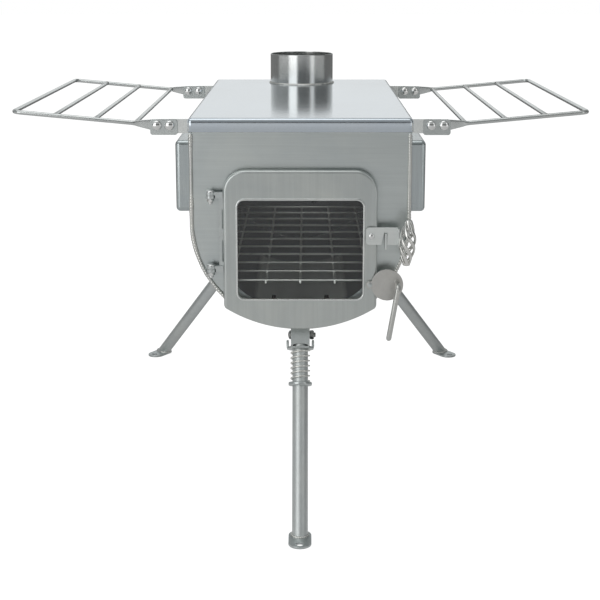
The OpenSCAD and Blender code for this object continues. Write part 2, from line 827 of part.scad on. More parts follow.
module latch_screw() stove() color(polished)
    translate([latch_x, 0, latch_z]) {
        bar_y(latch_screw_r, latch_front - face_gap, door_inside);
        bar_y(latch_spacer_r, latch_back + run_fit, door_face);
        facing(latch_front - face_gap)
            cylinder(r1 = latch_head_r, r2 = latch_screw_r, h = latch_head_h);
    }

module air_flap_rivet() stove() color(polished)
    translate([flap_x, 0, flap_z]) {
        bar_y(flap_rivet_r, flap_front - face_gap, door_inside);
        bar_y(flap_spacer_r, flap_back + run_fit, door_face);
        facing(flap_front - run_fit) cylinder(r1 = flap_head_r, r2 = flap_rivet_r, h = flap_head_h);
    }

// Latch
module latch_catch() stove() color(satin)
    translate([catch_x - catch_t / 2, latch_front - catch_proud, latch_z - catch_down])
        cube([catch_t, front_y - latch_front + catch_proud, catch_up + catch_down]);

module latch_bar() stove() color(satin)
    difference() {
        union() {
            slab(latch_front, latch_back) translate([latch_x, latch_z]) {
                far = flange_x + latch_t - latch_x;
                translate([latch_corner - latch_tail, -latch_h / 2])
                    square([far + latch_tail - latch_corner, latch_h]);
                translate([-latch_tail, latch_corner - latch_h / 2])
                    square([latch_corner, latch_h - 2 * latch_corner]);
                for (i = [-1, 1]) translate([latch_corner - latch_tail, i * (latch_h / 2 - latch_corner)])
                    circle(latch_corner);
            }
            translate([flange_x, flange_front, latch_z - latch_h / 2])
                cube([latch_t, latch_front - flange_front, latch_h]);
        }
        translate([latch_x, 0, latch_z]) bar_y(latch_screw_r + run_fit, latch_front - cut, latch_back + cut);
        slab(latch_front - cut, latch_back + cut) translate([catch_x, latch_z]) polygon([
            [-catch_t / 2 - slot_gap, catch_up + slot_roof],
            [catch_t / 2 + slot_gap, catch_up + slot_roof],
            [catch_t / 2 + slot_gap, -latch_h / 2 - cut],
            [-catch_t / 2 - slot_flare, -latch_h / 2 - cut],
            [-catch_t / 2 - slot_flare, -latch_h / 2],
        ]);
        translate([cage_x, cage_y, cage_bottom]) cylinder(r = cage_r + face_gap, h = cage_l);
    }

// Cage handle: wires that swell out and turn between two caps
function cage_path(k) = [for (i = [0:cage_rings]) let (
        share = i / cage_rings,
        a = 360 * k / cage_n - cage_twist * share,
        r = cage_neck_r + (cage_r - cage_wire / 2 - cage_neck_r) * pow(sin(180 * share), cage_swell)
    ) [r * cos(a), r * sin(a), cage_cap_h / 2 + share * (cage_l - cage_cap_h)]];
module cage_handle() stove() color(polished)
    translate([cage_x, cage_y, cage_bottom]) {
        for (k = [0:cage_n - 1]) wound_tube(cage_path(k), cage_wire / 2, cage_sides);
        for (z = [0, cage_l - cage_cap_h]) translate([0, 0, z]) cylinder(r = cage_cap_r, h = cage_cap_h);
    }

// Air flap
module air_disc() stove() color(satin)
    slab(flap_front, flap_back) difference() {
        union() {
            translate([flap_center_x, flap_z]) circle(flap_r);
            translate([flap_x, flap_z]) circle(flap_head_r + sheet);
            translate([flap_x, flap_z - flap_head_r - sheet])
                square([flap_center_x - flap_x, 2 * (flap_head_r + sheet)]);
        }
        translate([flap_x, flap_z]) circle(flap_rivet_r + run_fit);
    }

module air_lever() stove() color(polished)
    translate([lever_x, flap_front - lever_reach, lever_z]) rotate([0, lever_tilt, 0]) {
        bar_y(lever_d / 2, lever_bend, lever_reach);
        translate([0, lever_bend, -lever_bend]) rotate([90, 0, -90]) rotate_extrude(angle = 90)
            translate([lever_bend, 0]) circle(lever_d / 2, $fn = 48);
        translate([0, 0, -lever_l]) cylinder(r = lever_d / 2, h = lever_l - lever_bend);
        translate([0, 0, -lever_l]) sphere(lever_d / 2);
    }

// Legs: drawn hanging from the bolt along -Z, with the bracket's web on the -Y side
module at_leg(i) {
    stove() translate([0, leg_ys[i], axis_z]) rotate([0, leg_spins[i], 0]) translate([0, 0, -leg_drop])
        rotate([0, 0, leg_turns[i]]) rotate([-leg_leans[i], 0, 0]) children();
}
module at_foot(i) {
    stove() translate([foot_at(i).x, foot_at(i).y, 0]) rotate([0, 0, foot_turns[i]]) children();
}

module leg_bracket(i) color(satin) difference() {
    at_leg(i) difference() {
        intersection() {
            translate([-bracket_out, -bracket_web - bracket_t, -bracket_r])
                cube([2 * bracket_out, bracket_web + bracket_t + bracket_r, bracket_r + leg_hang + cut]);
            union() {
                bar_x(bracket_r, -bracket_out, bracket_out);
                translate([-bracket_out, -bracket_web - bracket_t, -bracket_r])
                    cube([2 * bracket_out, bracket_web + bracket_t, bracket_r + leg_hang + cut]);
                rotate([bracket_cut_backs[i], 0, 0]) translate([-bracket_out, 0, 0])
                    cube([2 * bracket_out, bracket_r - face_gap, bracket_r + leg_hang + cut]);
            }
        }
        translate([-bracket_in, -bracket_web, -bracket_r - cut])
            cube([2 * bracket_in, bracket_web + bracket_r + cut, 2 * (bracket_r + leg_hang + cut)]);
        translate([0, 0, -bracket_r]) scale([1, 1, bracket_arch / bracket_in])
            rotate([90, 0, 0]) cylinder(r = bracket_in, h = 2 * bracket_r);
        bar_x(leg_bolt_r + run_fit, -bracket_out - cut, bracket_out + cut);
    }
    stove() translate([0, 0, axis_z]) bar_y(body_r, -lid_l, 2 * lid_l);
}
module front_leg_bracket() leg_bracket(0);
module rear_left_leg_bracket() leg_bracket(1);
module rear_right_leg_bracket() leg_bracket(2);

module leg_bolt(i) color(satin) at_leg(i) {
    bar_x(leg_bolt_r, -bracket_out, bracket_out + bolt_nut_h);
    translate([-bracket_out, 0, 0]) rotate([0, -90, 0])
        cylinder(r1 = bolt_head_r, r2 = leg_bolt_r, h = bolt_head_h);
    translate([bracket_out, 0, 0]) rotate([0, 90, 0]) cylinder(r = bolt_nut_r, h = bolt_nut_h, $fn = 6);
}
module front_leg_bolt() leg_bolt(0);
module rear_left_leg_bolt() leg_bolt(1);
module rear_right_leg_bolt() leg_bolt(2);

module leg_tube(i) color(steel) difference() {
    at_leg(i) difference() {
        union() {
            translate([0, 0, -leg_len(i) - 2 * tube_r]) cylinder(r = tube_r, h = leg_len(i) + 2 * tube_r);
            intersection() {
                cylinder(r = tube_r, h = tube_r);
                bar_x(tube_r, -tube_r, tube_r);
            }
        }
        bar_x(leg_bolt_r + run_fit, -tube_r - cut, tube_r + cut);
    }
    at_foot(i) translate([-foot_r * 4, -foot_r * 4, foot_t - leg_len(i)])
        cube([foot_r * 8, foot_r * 8, leg_len(i)]);
}
module front_leg_tube() leg_tube(0);
module rear_left_leg_tube() leg_tube(1);
module rear_right_leg_tube() leg_tube(2);

module leg_foot(i) color(satin) at_foot(i) difference() {
    union() {
        cylinder(r = foot_r, h = foot_t);
        translate([0, -foot_l, 0]) cylinder(r = foot_r, h = foot_t);
        translate([-foot_r, -foot_l, 0]) cube([2 * foot_r, foot_l, foot_t]);
    }
    translate([0, -stake_at, -cut]) cylinder(r = stake_r, h = foot_t + 2 * cut);
}
module front_leg_foot() leg_foot(0);
module rear_left_leg_foot() leg_foot(1);
module rear_right_leg_foot() leg_foot(2);

module spring_seat(i) color(satin) at_leg(i)
    translate([0, 0, -seat_top - seat_t]) difference() {
        cylinder(r = seat_r, h = seat_t);
        translate([0, 0, -cut]) cylinder(r = tube_r, h = seat_t + 2 * cut);
    }
module front_spring_seat() spring_seat(0);
module rear_left_spring_seat() spring_seat(1);
module rear_right_spring_seat() spring_seat(2);

// Lock ring: a washer on the tube whose two ears stand beside the bracket
module lock_ring(i) color(satin) at_leg(i) difference() {
    union() {
        translate([0, 0, -ring_bottom]) intersection() {
            translate([-ear_out, -ring_half_w, 0]) cube([2 * ear_out, 2 * ring_half_w, ring_t]);
            cylinder(r = ear_out, h = ring_t);
        }
        for (k = [-1, 1]) translate([k * (ear_out - ear_thick / 2), 0, -(ring_bottom + ear_top) / 2])
            cube([ear_thick, ear_w, ring_bottom - ear_top], center = true);
    }
    translate([0, 0, -ring_bottom - cut]) cylinder(r = tube_r + ring_fit, h = ring_t + 2 * cut);
}
module front_lock_ring() lock_ring(0);
module rear_left_lock_ring() lock_ring(1);
module rear_right_lock_ring() lock_ring(2);

// Spring: one unbroken wire from the lock ring down to its seat
spring_path = [for (i = [0:spring_turns * spring_rings]) let (
        a = 360 * i / spring_rings,
        share = i / (spring_turns * spring_rings)
    ) [
        (spring_r - spring_wire / 2) * cos(a),
        (spring_r - spring_wire / 2) * sin(a),
        -spring_bottom + spring_wire / 2 + share * (spring_l - spring_wire),
    ]];
echo(least_gap_in_the_spring = least_gap(spring_path, spring_wire / 2, spring_rings / 2));
module leg_spring(i) color(polished) at_leg(i) wound_tube(spring_path, spring_wire / 2, spring_sides);
module front_spring() leg_spring(0);
module rear_left_spring() leg_spring(1);
module rear_right_spring() leg_spring(2);

// Shelves
module shelf_ears() stove() color(satin)
    for (s = [-1, 1], y = shelf_ys) side(s) slab(y - leaf_t / 2, y + leaf_t / 2) difference() {
        union() {
            translate([inner_x, shelf_z]) circle(leaf_r);
            translate([lid_w / 2, shelf_z - link_fold + link_gap])
                square([shelf_reach, link_fold - link_gap + leaf_r]);
        }
        translate([inner_x, shelf_z]) circle(rivet_r + run_fit);
    }

// Shelf links: channels folded along their lower edge, one at each end of the shelf
module shelf_links(s) stove() color(satin)
    for (y = shelf_ys) side(s) translate([0, y, 0]) difference() {
        slab(-link_out, link_out) translate([inner_x - link_inner_end, shelf_z - link_fold - link_t]) {
            tall = link_fold + link_t + link_up;
            translate([link_l / 2, tall / 2]) rounded(link_l, tall, link_corner);
        }
        translate([inner_x - link_inner_end - cut, -link_in, shelf_z - link_fold])
            cube([link_l + 2 * cut, 2 * link_in, link_fold + link_up + cut]);
        for (x = [inner_x, outer_x]) translate([x, 0, shelf_z])
            bar_y(rivet_r + run_fit, -link_out - cut, link_out + cut);
    }
module left_shelf_links() shelf_links(-1);
module right_shelf_links() shelf_links(1);

module link_rivets(s) stove() color(polished)
    for (y = shelf_ys, x = [inner_x, outer_x]) side(s) translate([x, y, shelf_z]) {
        bar_y(rivet_r, -link_out, link_out);
        for (k = [-1, 1]) translate([0, k * link_out, 0]) rotate([-k * 90, 0, 0])
            rivet_head();
    }
module rivet_head() {
    ball = (pow(rivet_head_r, 2) + pow(rivet_head_h, 2)) / (2 * rivet_head_h);
    intersection() {
        translate([0, 0, rivet_head_h - ball]) sphere(ball);
        cylinder(r = rivet_head_r, h = rivet_head_h);
    }
}
module left_link_rivets() link_rivets(-1);
module right_link_rivets() link_rivets(1);

// Shelf rack: two arms with flattened ends, an outer rod with bent corners, and bars between
module shelf_rack(s) stove() color(polished)
    side(s) translate([outer_x, 0, shelf_z]) rotate([0, -rack_tilt, 0]) {
        slope = asin((leaf_r - leaf_end_r) / leaf_l);
        for (y = shelf_ys) translate([0, y, 0]) {
            slab(-leaf_t / 2, leaf_t / 2) difference() {
                union() {
                    circle(leaf_r);
                    polygon([
                        leaf_r * [sin(slope), cos(slope)],
                        [leaf_l, 0] + leaf_end_r * [sin(slope), cos(slope)],
                        [leaf_l, 0] + leaf_end_r * [sin(slope), -cos(slope)],
                        leaf_r * [sin(slope), -cos(slope)],
                    ]);
                }
                circle(rivet_r + run_fit);
            }
            bar_x(rod_r, leaf_l - leaf_weld, rack_reach - rack_corner);
        }
        for (k = rack_bars) translate([rack_reach - k * rack_pitch, 0, 0])
            bar_y(bar_r, shelf_ys[0], shelf_ys[1]);
        translate([rack_reach, 0, 0]) bar_y(rod_r, shelf_ys[0] + rack_corner, shelf_ys[1] - rack_corner);
        for (k = [0, 1]) translate([rack_reach - rack_corner, shelf_ys[k] + (1 - 2 * k) * rack_corner, 0])
            rotate([0, 0, k * 90 - 90]) rotate_extrude(angle = 90) translate([rack_corner, 0]) circle(rod_r, $fn = 48);
    }
module left_shelf_rack() shelf_rack(-1);
module right_shelf_rack() shelf_rack(1);

body_shell();
front_plate();
back_plate();
lid();
flue_collar();
door_seat();
air_inlet_tube();
side_box_left();
side_box_right();
side_glass_left();
side_glass_right();
side_frame_left();
side_frame_right();
fire_grate();
hinge_lugs();
hinge_bolts();
latch_catch();
shelf_ears();
front_leg_bracket();
rear_left_leg_bracket();
rear_right_leg_bracket();
front_leg_bolt();
rear_left_leg_bolt();
rear_right_leg_bolt();
door_skin();
window_glass();
glass_tape();
glass_clips();
glass_frame();
seal_rope();
hinge_strip();
hinge_knuckles();
latch_screw();
air_flap_rivet();
latch_bar();
cage_handle();
air_disc();
air_lever();
front_leg_tube();
rear_left_leg_tube();
rear_right_leg_tube();
front_leg_foot();
rear_left_leg_foot();
rear_right_leg_foot();
front_spring_seat();
rear_left_spring_seat();
rear_right_spring_seat();
front_lock_ring();
rear_left_lock_ring();
rear_right_lock_ring();
front_spring();
rear_left_spring();
rear_right_spring();
left_shelf_links();
right_shelf_links();
left_link_rivets();
right_link_rivets();
left_shelf_rack();
right_shelf_rack();
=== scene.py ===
"""Looks of a folding wood stove for a tent, made of stainless sheet, tube and wire.

Lengths are millimetres in the stove's own frame: X to its right, Y to its back from the
front face of the lid, Z up from the ground. `to_row` takes points from there to the row
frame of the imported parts, in metres. Each sub-assembly is a class with its sizes as fields.
"""

import json
import logging
import math
from collections.abc import Callable
from dataclasses import dataclass, field
from enum import Enum

import bmesh
import bpy
import numpy as np
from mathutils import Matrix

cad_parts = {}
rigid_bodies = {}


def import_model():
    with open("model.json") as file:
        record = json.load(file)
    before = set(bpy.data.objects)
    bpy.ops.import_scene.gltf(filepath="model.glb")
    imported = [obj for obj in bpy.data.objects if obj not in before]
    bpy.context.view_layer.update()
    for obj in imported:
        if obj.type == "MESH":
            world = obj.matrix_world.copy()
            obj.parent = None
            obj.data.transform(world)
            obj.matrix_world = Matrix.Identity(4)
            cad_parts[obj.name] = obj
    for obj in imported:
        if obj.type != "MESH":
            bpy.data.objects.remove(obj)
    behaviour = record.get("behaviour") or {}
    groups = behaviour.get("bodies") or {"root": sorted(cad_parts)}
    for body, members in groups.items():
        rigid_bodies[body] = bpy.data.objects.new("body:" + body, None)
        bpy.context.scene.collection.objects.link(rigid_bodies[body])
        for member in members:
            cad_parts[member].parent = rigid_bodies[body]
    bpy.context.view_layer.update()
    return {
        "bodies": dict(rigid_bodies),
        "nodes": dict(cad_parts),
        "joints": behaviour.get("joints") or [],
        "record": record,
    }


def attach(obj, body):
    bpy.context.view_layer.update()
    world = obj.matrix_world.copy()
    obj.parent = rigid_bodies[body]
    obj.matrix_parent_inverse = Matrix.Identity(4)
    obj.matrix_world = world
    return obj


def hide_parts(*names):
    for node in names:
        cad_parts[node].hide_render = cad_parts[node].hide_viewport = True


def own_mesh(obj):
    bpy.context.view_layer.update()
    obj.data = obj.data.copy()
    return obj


log = logging.getLogger("tent_stove")

MM = 0.001
MID_Y = 276.27857
AXIS_Z = 349.0
BODY_R = 125.2
LID_TOP = 467.0
LID_LONG = 508.0
FRONT_Y = 1.8
BACK_Y = 506.2
DOOR_FACE = -12.0
FLUE_Y = 455.0
SIDES = (-1, 1)
SIDE_NAMES = {-1: "left", 1: "right"}

Points = np.ndarray
Pair = tuple[float, float]
Triple = tuple[float, float, float]
Tone = tuple[int, int, int]
Colour = tuple[float, float, float, float]
Socket = bpy.types.NodeSocket
Sockets = bpy.types.bpy_prop_collection


# ---------------------------------------------------------------- shapes


@dataclass(frozen=True)
class Surface:
    """Points in millimetres, the quads between them, and the faces that close their ends."""

    points: Points
    quads: np.ndarray
    ends: tuple[tuple[int, ...], ...] = ()

    def placed(self, matrix: np.ndarray) -> "Surface":
        """The same surface after p' = R p + t, with a 4 by 4 matrix."""
        return Surface(self.points @ matrix[:3, :3].T + matrix[:3, 3], self.quads, self.ends)

    def mirrored(self, side: int) -> "Surface":
        """The same surface with X times side, for the stove's left or right half."""
        return Surface(self.points * np.array([side, 1, 1]), self.quads, self.ends)


def together(*surfaces: Surface) -> Surface:
    """Several surfaces as one, their faces renumbered by the points before them."""
    starts = np.cumsum([0, *[len(s.points) for s in surfaces]])
    return Surface(
        np.concatenate([s.points for s in surfaces]),
        np.concatenate([s.quads + n for s, n in zip(surfaces, starts)]),
        tuple(tuple(i + int(n) for i in f) for s, n in zip(surfaces, starts) for f in s.ends),
    )


def to_row(points: Points) -> Points:
    """Stove millimetres to row metres: (x, y - mid_y, z) / 1000."""
    return (points - np.array([0.0, MID_Y, 0.0])) * MM


def lattice(grid: Points, ring_u: bool = False) -> Surface:
    """Quads over a grid of points P(u, v) whose last column meets the first.

    Args:
        grid: Rows along u by columns along v by 3.
        ring_u: Whether the last row meets the first; if not, a face closes each of the two.

    Returns:
        The surface, whose quad (u, v) has the corners (u, v), (u, v+1), (u+1, v+1), (u+1, v).
    """
    rows, cols = grid.shape[:2]
    u, v = np.arange(rows if ring_u else rows - 1)[:, None], np.arange(cols)[None]
    u1, v1 = (u + 1) % rows, (v + 1) % cols
    quads = np.stack([u * cols + v, u * cols + v1, u1 * cols + v1, u1 * cols + v], -1)
    ends = () if ring_u else (tuple(range(cols))[::-1], tuple(range((rows - 1) * cols, rows * cols)))
    return Surface(grid.reshape(-1, 3), quads.reshape(-1, 4), ends)


def arc(centre: Pair, radius: float, start: float, end: float, count: int) -> Points:
    """Points (cx + r cos a, cy + r sin a) for a from start to end, in degrees."""
    a = np.radians(np.linspace(start, end, count))
    return np.stack([centre[0] + radius * np.cos(a), centre[1] + radius * np.sin(a)], -1)


def ring(radius: float, count: int) -> Points:
    """A closed circle of count points (r cos a, r sin a), its last point not repeated."""
    return arc((0, 0), radius, 0, 360 * (1 - 1 / count), count)


def rounded_box(width: float, height: float, corner: float, count: int = 8) -> Points:
    """Outline of a rectangle whose corners are quarter circles, from the lower right corner up."""
    x, z, r = width / 2 - corner, height / 2 - corner, max(corner, 0.02)
    quarters = ((x, -z, -90), (x, z, 0), (-x, z, 90), (-x, -z, 180))
    return np.concatenate([arc((cx, cz), r, turn, turn + 90, count) for cx, cz, turn in quarters])


def flat_oval(half_x: float, half_y: float, power: float | np.ndarray, count: int) -> Points:
    """Superellipse (a sgn|cos|^(2/n), b sgn|sin|^(2/n)): round at n 2, boxy above it.

    Args:
        half_x: Half width a, one number or a column with one for each oval.
        half_y: Half height b, likewise.
        power: Power n, likewise.
        count: Points round the oval.

    Returns:
        Points (a, b), in one row for each oval where the sizes are columns.
    """
    a = np.linspace(0, 2 * np.pi, count, endpoint=False)
    c, s = np.cos(a), np.sin(a)
    return np.stack(
        [half_x * np.sign(c) * np.abs(c) ** (2 / power), half_y * np.sign(s) * np.abs(s) ** (2 / power)], -1)


def upright(flat: Points, y: float) -> Points:
    """Points (x, z) as (x, y, z)."""
    return np.column_stack([flat[:, 0], np.full(len(flat), y), flat[:, 1]])


def fold(bend: float, sheet: float, top: float, count: int) -> tuple[Points, Points]:
    """The outer and the inner line of sheet folded down round an outer edge, as section rows.

    At angle a the outer line has inset r (1 - sin a) and drop r (1 - cos a), the inner one
    inset r - i sin a and drop r - i cos a, with i = r - sheet; the inner line runs back.

    Args:
        bend: Outer radius r of the fold.
        sheet: Thickness of the sheet.
        top: Height of its outer face.
        count: Points on each line.

    Returns:
        Rows (1, inset, height) of both lines.
    """
    a = np.radians(np.linspace(0, 90, count))
    thin, side = bend - sheet, np.ones(count)
    outer = np.column_stack([side, bend * (1 - np.sin(a)), top - bend * (1 - np.cos(a))])
    inner = np.column_stack([side, bend - thin * np.sin(a), top - bend + thin * np.cos(a)])
    return outer, inner[::-1]


def carried(
    profile: Points, path: Points, up: Points | Triple, ring_u: bool = False
) -> Surface:
    """A profile carried along a path: P(u, v) = path(u) + a(u, v) side(u) + b(u, v) lift(u).

    Side is tangent x up and lift is side x tangent, both of length 1.

    Args:
        profile: Points (a, b), the same all along or one set for each point of the path.
        path: The path's points.
        up: A direction that the path never follows, or one for each of its points.
        ring_u: Whether the path is closed.

    Returns:
        The surface, its ends closed where the path is open.
    """
    if ring_u:
        tangent = np.roll(path, -1, 0) - np.roll(path, 1, 0)
    else:
        tangent = np.gradient(path, axis=0)
    tangent /= np.linalg.norm(tangent, axis=1, keepdims=True)
    side = np.cross(tangent, np.broadcast_to(np.asarray(up, float), path.shape))
    side /= np.linalg.norm(side, axis=1, keepdims=True)
    lift = np.cross(side, tangent)
    a, b = profile[..., 0, None], profile[..., 1, None]
    grid = path[:, None] + a * side[:, None] + b * lift[:, None]
    return lattice(grid, ring_u=ring_u)


def rod(
    path: Points,
    radius: float | np.ndarray,
    up: Points | Triple = (0, 0, 1),
    edge: float = 0.5,
    count: int = 20,
) -> Surface:
    """Round wire along an open path, its ends rounded off.

    At an end, the radius grows as r - e + e sin a while the place moves by e (1 - cos a).

    Args:
        path: The wire's centre line, ends included.
        radius: Its radius, one number or one for each point.
        up: A direction that the path never follows.
        edge: Rounding e of the ends, up to the radius.
        count: Points round the wire.

    Returns:
        The closed surface.
    """
    radii = np.broadcast_to(np.asarray(radius, float), len(path))
    a = np.linspace(0, np.pi / 2, 5)
    first, last = path[1] - path[0], path[-2] - path[-1]
    first, last = first / np.linalg.norm(first), last / np.linalg.norm(last)
    step = (edge * (1 - np.cos(a)))[:, None]
    grow = edge * (np.sin(a) - 1)
    line = np.concatenate([path[0] + first * step, path[1:-1], (path[-1] + last * step)[::-1]])
    sizes = np.concatenate([radii[0] + grow, radii[1:-1], (radii[-1] + grow)[::-1]])
    if np.ndim(up) == 2:
        up = np.concatenate([np.repeat(up[:1], 5, 0), up[1:-1], np.repeat(up[-1:], 5, 0)])
    return carried(ring(1, count)[None] * sizes[:, None, None], line, up)


def turned(profile: Points, count: int = 64, ring_u: bool = False) -> Surface:
    """A profile (r, h) turned round Z: P(u, v) = (r(u) cos v, r(u) sin v, h(u))."""
    circle = ring(1, count)
    grid = np.empty((len(profile), count, 3))
    grid[..., :2] = profile[:, None, :1] * circle[None]
    grid[..., 2] = profile[:, None, 1]
    return lattice(grid, ring_u=ring_u)


def washer(inner: float, outer: float, low: float, high: float, edge: float) -> Surface:
    """A turned ring of rectangular section, its outer edges rounded by quarter circles."""
    corner = arc((outer - edge, high - edge), edge, 90, 0, 5)
    foot = arc((outer - edge, low + edge), edge, 0, -90, 5)
    return turned(np.concatenate([[[inner, low], [inner, high]], corner, foot]), ring_u=True)


def dome(radius: float, height: float, skirt: float = 0.4) -> Surface:
    """A button head on Z 0: a short skirt, then (r cos a, h sin a) up to its pole."""
    a = np.linspace(0, np.pi / 2, 10)
    cap = np.stack([radius * np.cos(a), skirt + (height - skirt) * np.sin(a)], -1)
    return turned(np.concatenate([[[radius * 0.96, 0.0], [radius, skirt * 0.3]], cap]), 40)


def nut(across: float, height: float) -> Surface:
    """A hexagon nut on Z 0, its corners turned off at both ends.

    P(u, v) = (R cos v, R sin v, h(u)) with R = min(f / cos(v mod 60 - 30 degrees), cap(u)).

    Args:
        across: Distance between opposite flats, 2 f.
        height: Height of the nut.

    Returns:
        The closed surface.
    """
    flat = across / 2
    turn = np.linspace(0, 360, 48, endpoint=False)
    hexagon = flat / np.cos(np.radians(turn % 60 - 30))
    cap = flat * np.array([0.5, 0.95, 1.02, 1.2, 1.2, 1.02, 0.95, 0.5])
    levels = height * np.array([0, 0, 0.07, 0.2, 0.8, 0.93, 1, 1])
    radii = np.minimum(hexagon[None], cap[:, None])
    a, h = np.radians(turn), np.broadcast_to(levels[:, None], radii.shape)
    return lattice(np.stack([radii * np.cos(a), radii * np.sin(a), h], -1))


def thread(radius: float, length: float) -> Surface:
    """A threaded rod on Z 0 with a pitch of 1, thinner at its end: r (1 - 0.12 |saw(h - v)|)."""
    h = np.linspace(0, length, max(int(length * 6), 6))[:, None]
    turn = np.linspace(0, 1, 24, endpoint=False)[None]
    saw = np.abs(((h - turn) % 1) * 2 - 1)
    fade = np.clip(length - h, 0, 1)
    radii = radius * (1 - 0.12 * saw * fade - 0.2 * (1 - fade))
    a = 2 * np.pi * turn
    grid = np.stack([radii * np.cos(a), radii * np.sin(a), np.broadcast_to(h, radii.shape)], -1)
    return lattice(grid)


def plate(outline: Points, low: float, high: float, edge: float) -> Surface:
    """A flat plate from Z low to high with rounded edges.

    The outline is drawn in along its normals by e (1 - sin a) while Z moves by e (1 - cos a),
    and once more on the flat, so that the rounding's shading stays at the edge.

    Args:
        outline: Closed outline (x, y), counter-clockwise.
        low: Lower face.
        high: Upper face.
        edge: Rounding of both edges.

    Returns:
        The closed surface, its faces one polygon each.
    """
    along = np.roll(outline, -1, 0) - np.roll(outline, 1, 0)
    along /= np.maximum(np.linalg.norm(along, axis=1, keepdims=True), 1e-9)
    inward = np.stack([-along[:, 1], along[:, 0]], -1)
    a = np.linspace(0, np.pi / 2, 5)
    draw = edge * (1 - np.sin(a))
    rise = edge * (1 - np.cos(a))
    inset = np.concatenate([[edge + 0.35], draw, draw[::-1], [edge + 0.35]])
    levels = np.concatenate([[low], low + rise, (high - rise)[::-1], [high]])
    loops = outline[None] + inset[:, None, None] * inward[None]
    grid = np.concatenate([loops, np.broadcast_to(levels[:, None, None], (*loops.shape[:2], 1))], -1)
    return lattice(grid)


def rayed(outline: Points, centre: Points, angles: np.ndarray) -> Points:
    """Where rays from a centre meet a star-shaped outline.

    On the segment p0 p1 that holds the angle, s = (d x p0) / (d x (p0 - p1)) and the point is
    p0 + s (p1 - p0).

    Args:
        outline: Closed outline (x, y), counter-clockwise.
        centre: The point that the rays leave.
        angles: Their angles in radians.

    Returns:
        One point for each angle.
    """
    rel = outline - centre
    turn = np.arctan2(rel[:, 1], rel[:, 0]) % (2 * np.pi)
    order = np.argsort(turn, kind="stable")
    rel, turn = rel[order], turn[order]
    at = np.searchsorted(turn, angles % (2 * np.pi), side="right")
    p0, p1 = rel[at - 1], rel[at % len(rel)]
    d = np.stack([np.cos(angles), np.sin(angles)], -1)
    top = d[:, 0] * p0[:, 1] - d[:, 1] * p0[:, 0]
    low = d[:, 0] * (p0 - p1)[:, 1] - d[:, 1] * (p0 - p1)[:, 0]
    share = np.where(np.abs(low) > 1e-12, top / np.where(np.abs(low) > 1e-12, low, 1), 0)
    return centre + p0 + share[:, None] * (p1 - p0)


def pressed_panel(
    outer: Callable[[float], Points],
    hole: Callable[[float], Points],
    centre: Pair,
    section: Points,
) -> Surface:
    """Sheet panel with a hole, pressed or folded along both outlines.

    P(u, v) = (1 - k) hole(offset, v) + k outer(inset, v) at height h, for rows (k, offset, h)
    of the section and rays v from the centre, so that both outlines keep their true curves.

    Args:
        outer: The outer outline drawn in by an inset.
        hole: The hole's outline grown by an offset.
        centre: Centre of the rays, inside the hole.
        section: Closed section as rows (k, offset or inset, height).

    Returns:
        The closed surface in (x, y, height).
    """
    mid = np.asarray(centre, float)
    both = np.concatenate([outer(0.0), hole(0.0)]) - mid
    angles = np.unique(np.round(np.arctan2(both[:, 1], both[:, 0]), 4))
    rows = []
    for share, offset, height in section:
        inside = rayed(hole(offset if share < 0.5 else 0.0), mid, angles)
        outside = rayed(outer(offset if share >= 0.5 else 0.0), mid, angles)
        flat = (1 - share) * inside + share * outside
        rows.append(np.column_stack([flat, np.full(len(flat), height)]))
    return lattice(np.stack(rows), ring_u=True)


def bead(path: Points, radius: float, up: Triple, ring_u: bool = False,
         pitch: float = 3.2, seed: int = 3) -> Surface:
    """A weld bead: a row of overlapping drops along a path.

    Radius r (0.72 + 0.28 sqrt(1 - s^2)) with s running from -1 to 1 along each drop, and a
    slow seeded wander of the width and height.

    Args:
        path: The bead's centre line, evenly spaced.
        radius: Radius of its drops.
        up: A direction that the path never follows.
        ring_u: Whether the path is closed.
        pitch: Length of a drop.
        seed: Seed of the wander.

    Returns:
        The closed surface.
    """
    steps = np.linalg.norm(np.roll(path, -1, 0) - path, axis=1)
    run = np.concatenate([[0], np.cumsum(steps[:-1])])
    if ring_u:
        pitch = steps.sum() / round(steps.sum() / pitch)
    drop = (run / pitch) % 1 * 2 - 1
    rng = np.random.default_rng(seed)
    knots = max(int(run[-1] / 9), 3)
    wander = np.interp(run, np.linspace(0, run[-1], knots), rng.uniform(-1, 1, knots))
    if ring_u:
        wander *= np.minimum(1, np.minimum(run, run[-1] - run) / 12)
    size = radius * (0.72 + 0.28 * np.sqrt(1 - np.clip(drop, -1, 1) ** 2) + 0.05 * wander)
    if not ring_u:
        size *= np.clip(np.minimum(run, run[-1] - run) / radius, 0.25, 1)
    profile = ring(1, 10)[None] * size[:, None, None]
    profile[..., 0] *= 1 + 0.06 * wander[:, None]
    return carried(profile, path, up, ring_u=ring_u)


def even(path: Points, step: float) -> Points:
    """The same open path with points at equal distances, by interpolation over its length."""
    run = np.concatenate([[0], np.cumsum(np.linalg.norm(np.diff(path, axis=0), axis=1))])
    at = np.linspace(0, run[-1], max(int(run[-1] / step), 4))
    return np.stack([np.interp(at, run, path[:, k]) for k in range(path.shape[1])], -1)


def even_loop(outline: Points, step: float) -> Points:
    """A closed outline with points at equal distances, its last point not repeated."""
    return even(np.concatenate([outline, outline[:1]]), step)[:-1]


def spun(axis: str, degrees: float) -> np.ndarray:
    """4 by 4 rotation about X, Y or Z."""
    c, s = math.cos(math.radians(degrees)), math.sin(math.radians(degrees))
    m = np.eye(4)
    i, j = {"x": (1, 2), "y": (2, 0), "z": (0, 1)}[axis]
    m[i, i] = m[j, j] = c
    m[i, j], m[j, i] = -s, s
    return m


def moved(x: float = 0.0, y: float = 0.0, z: float = 0.0) -> np.ndarray:
    """4 by 4 translation."""
    m = np.eye(4)
    m[:3, 3] = x, y, z
    return m


FACING_RIGHT = spun("y", 90)


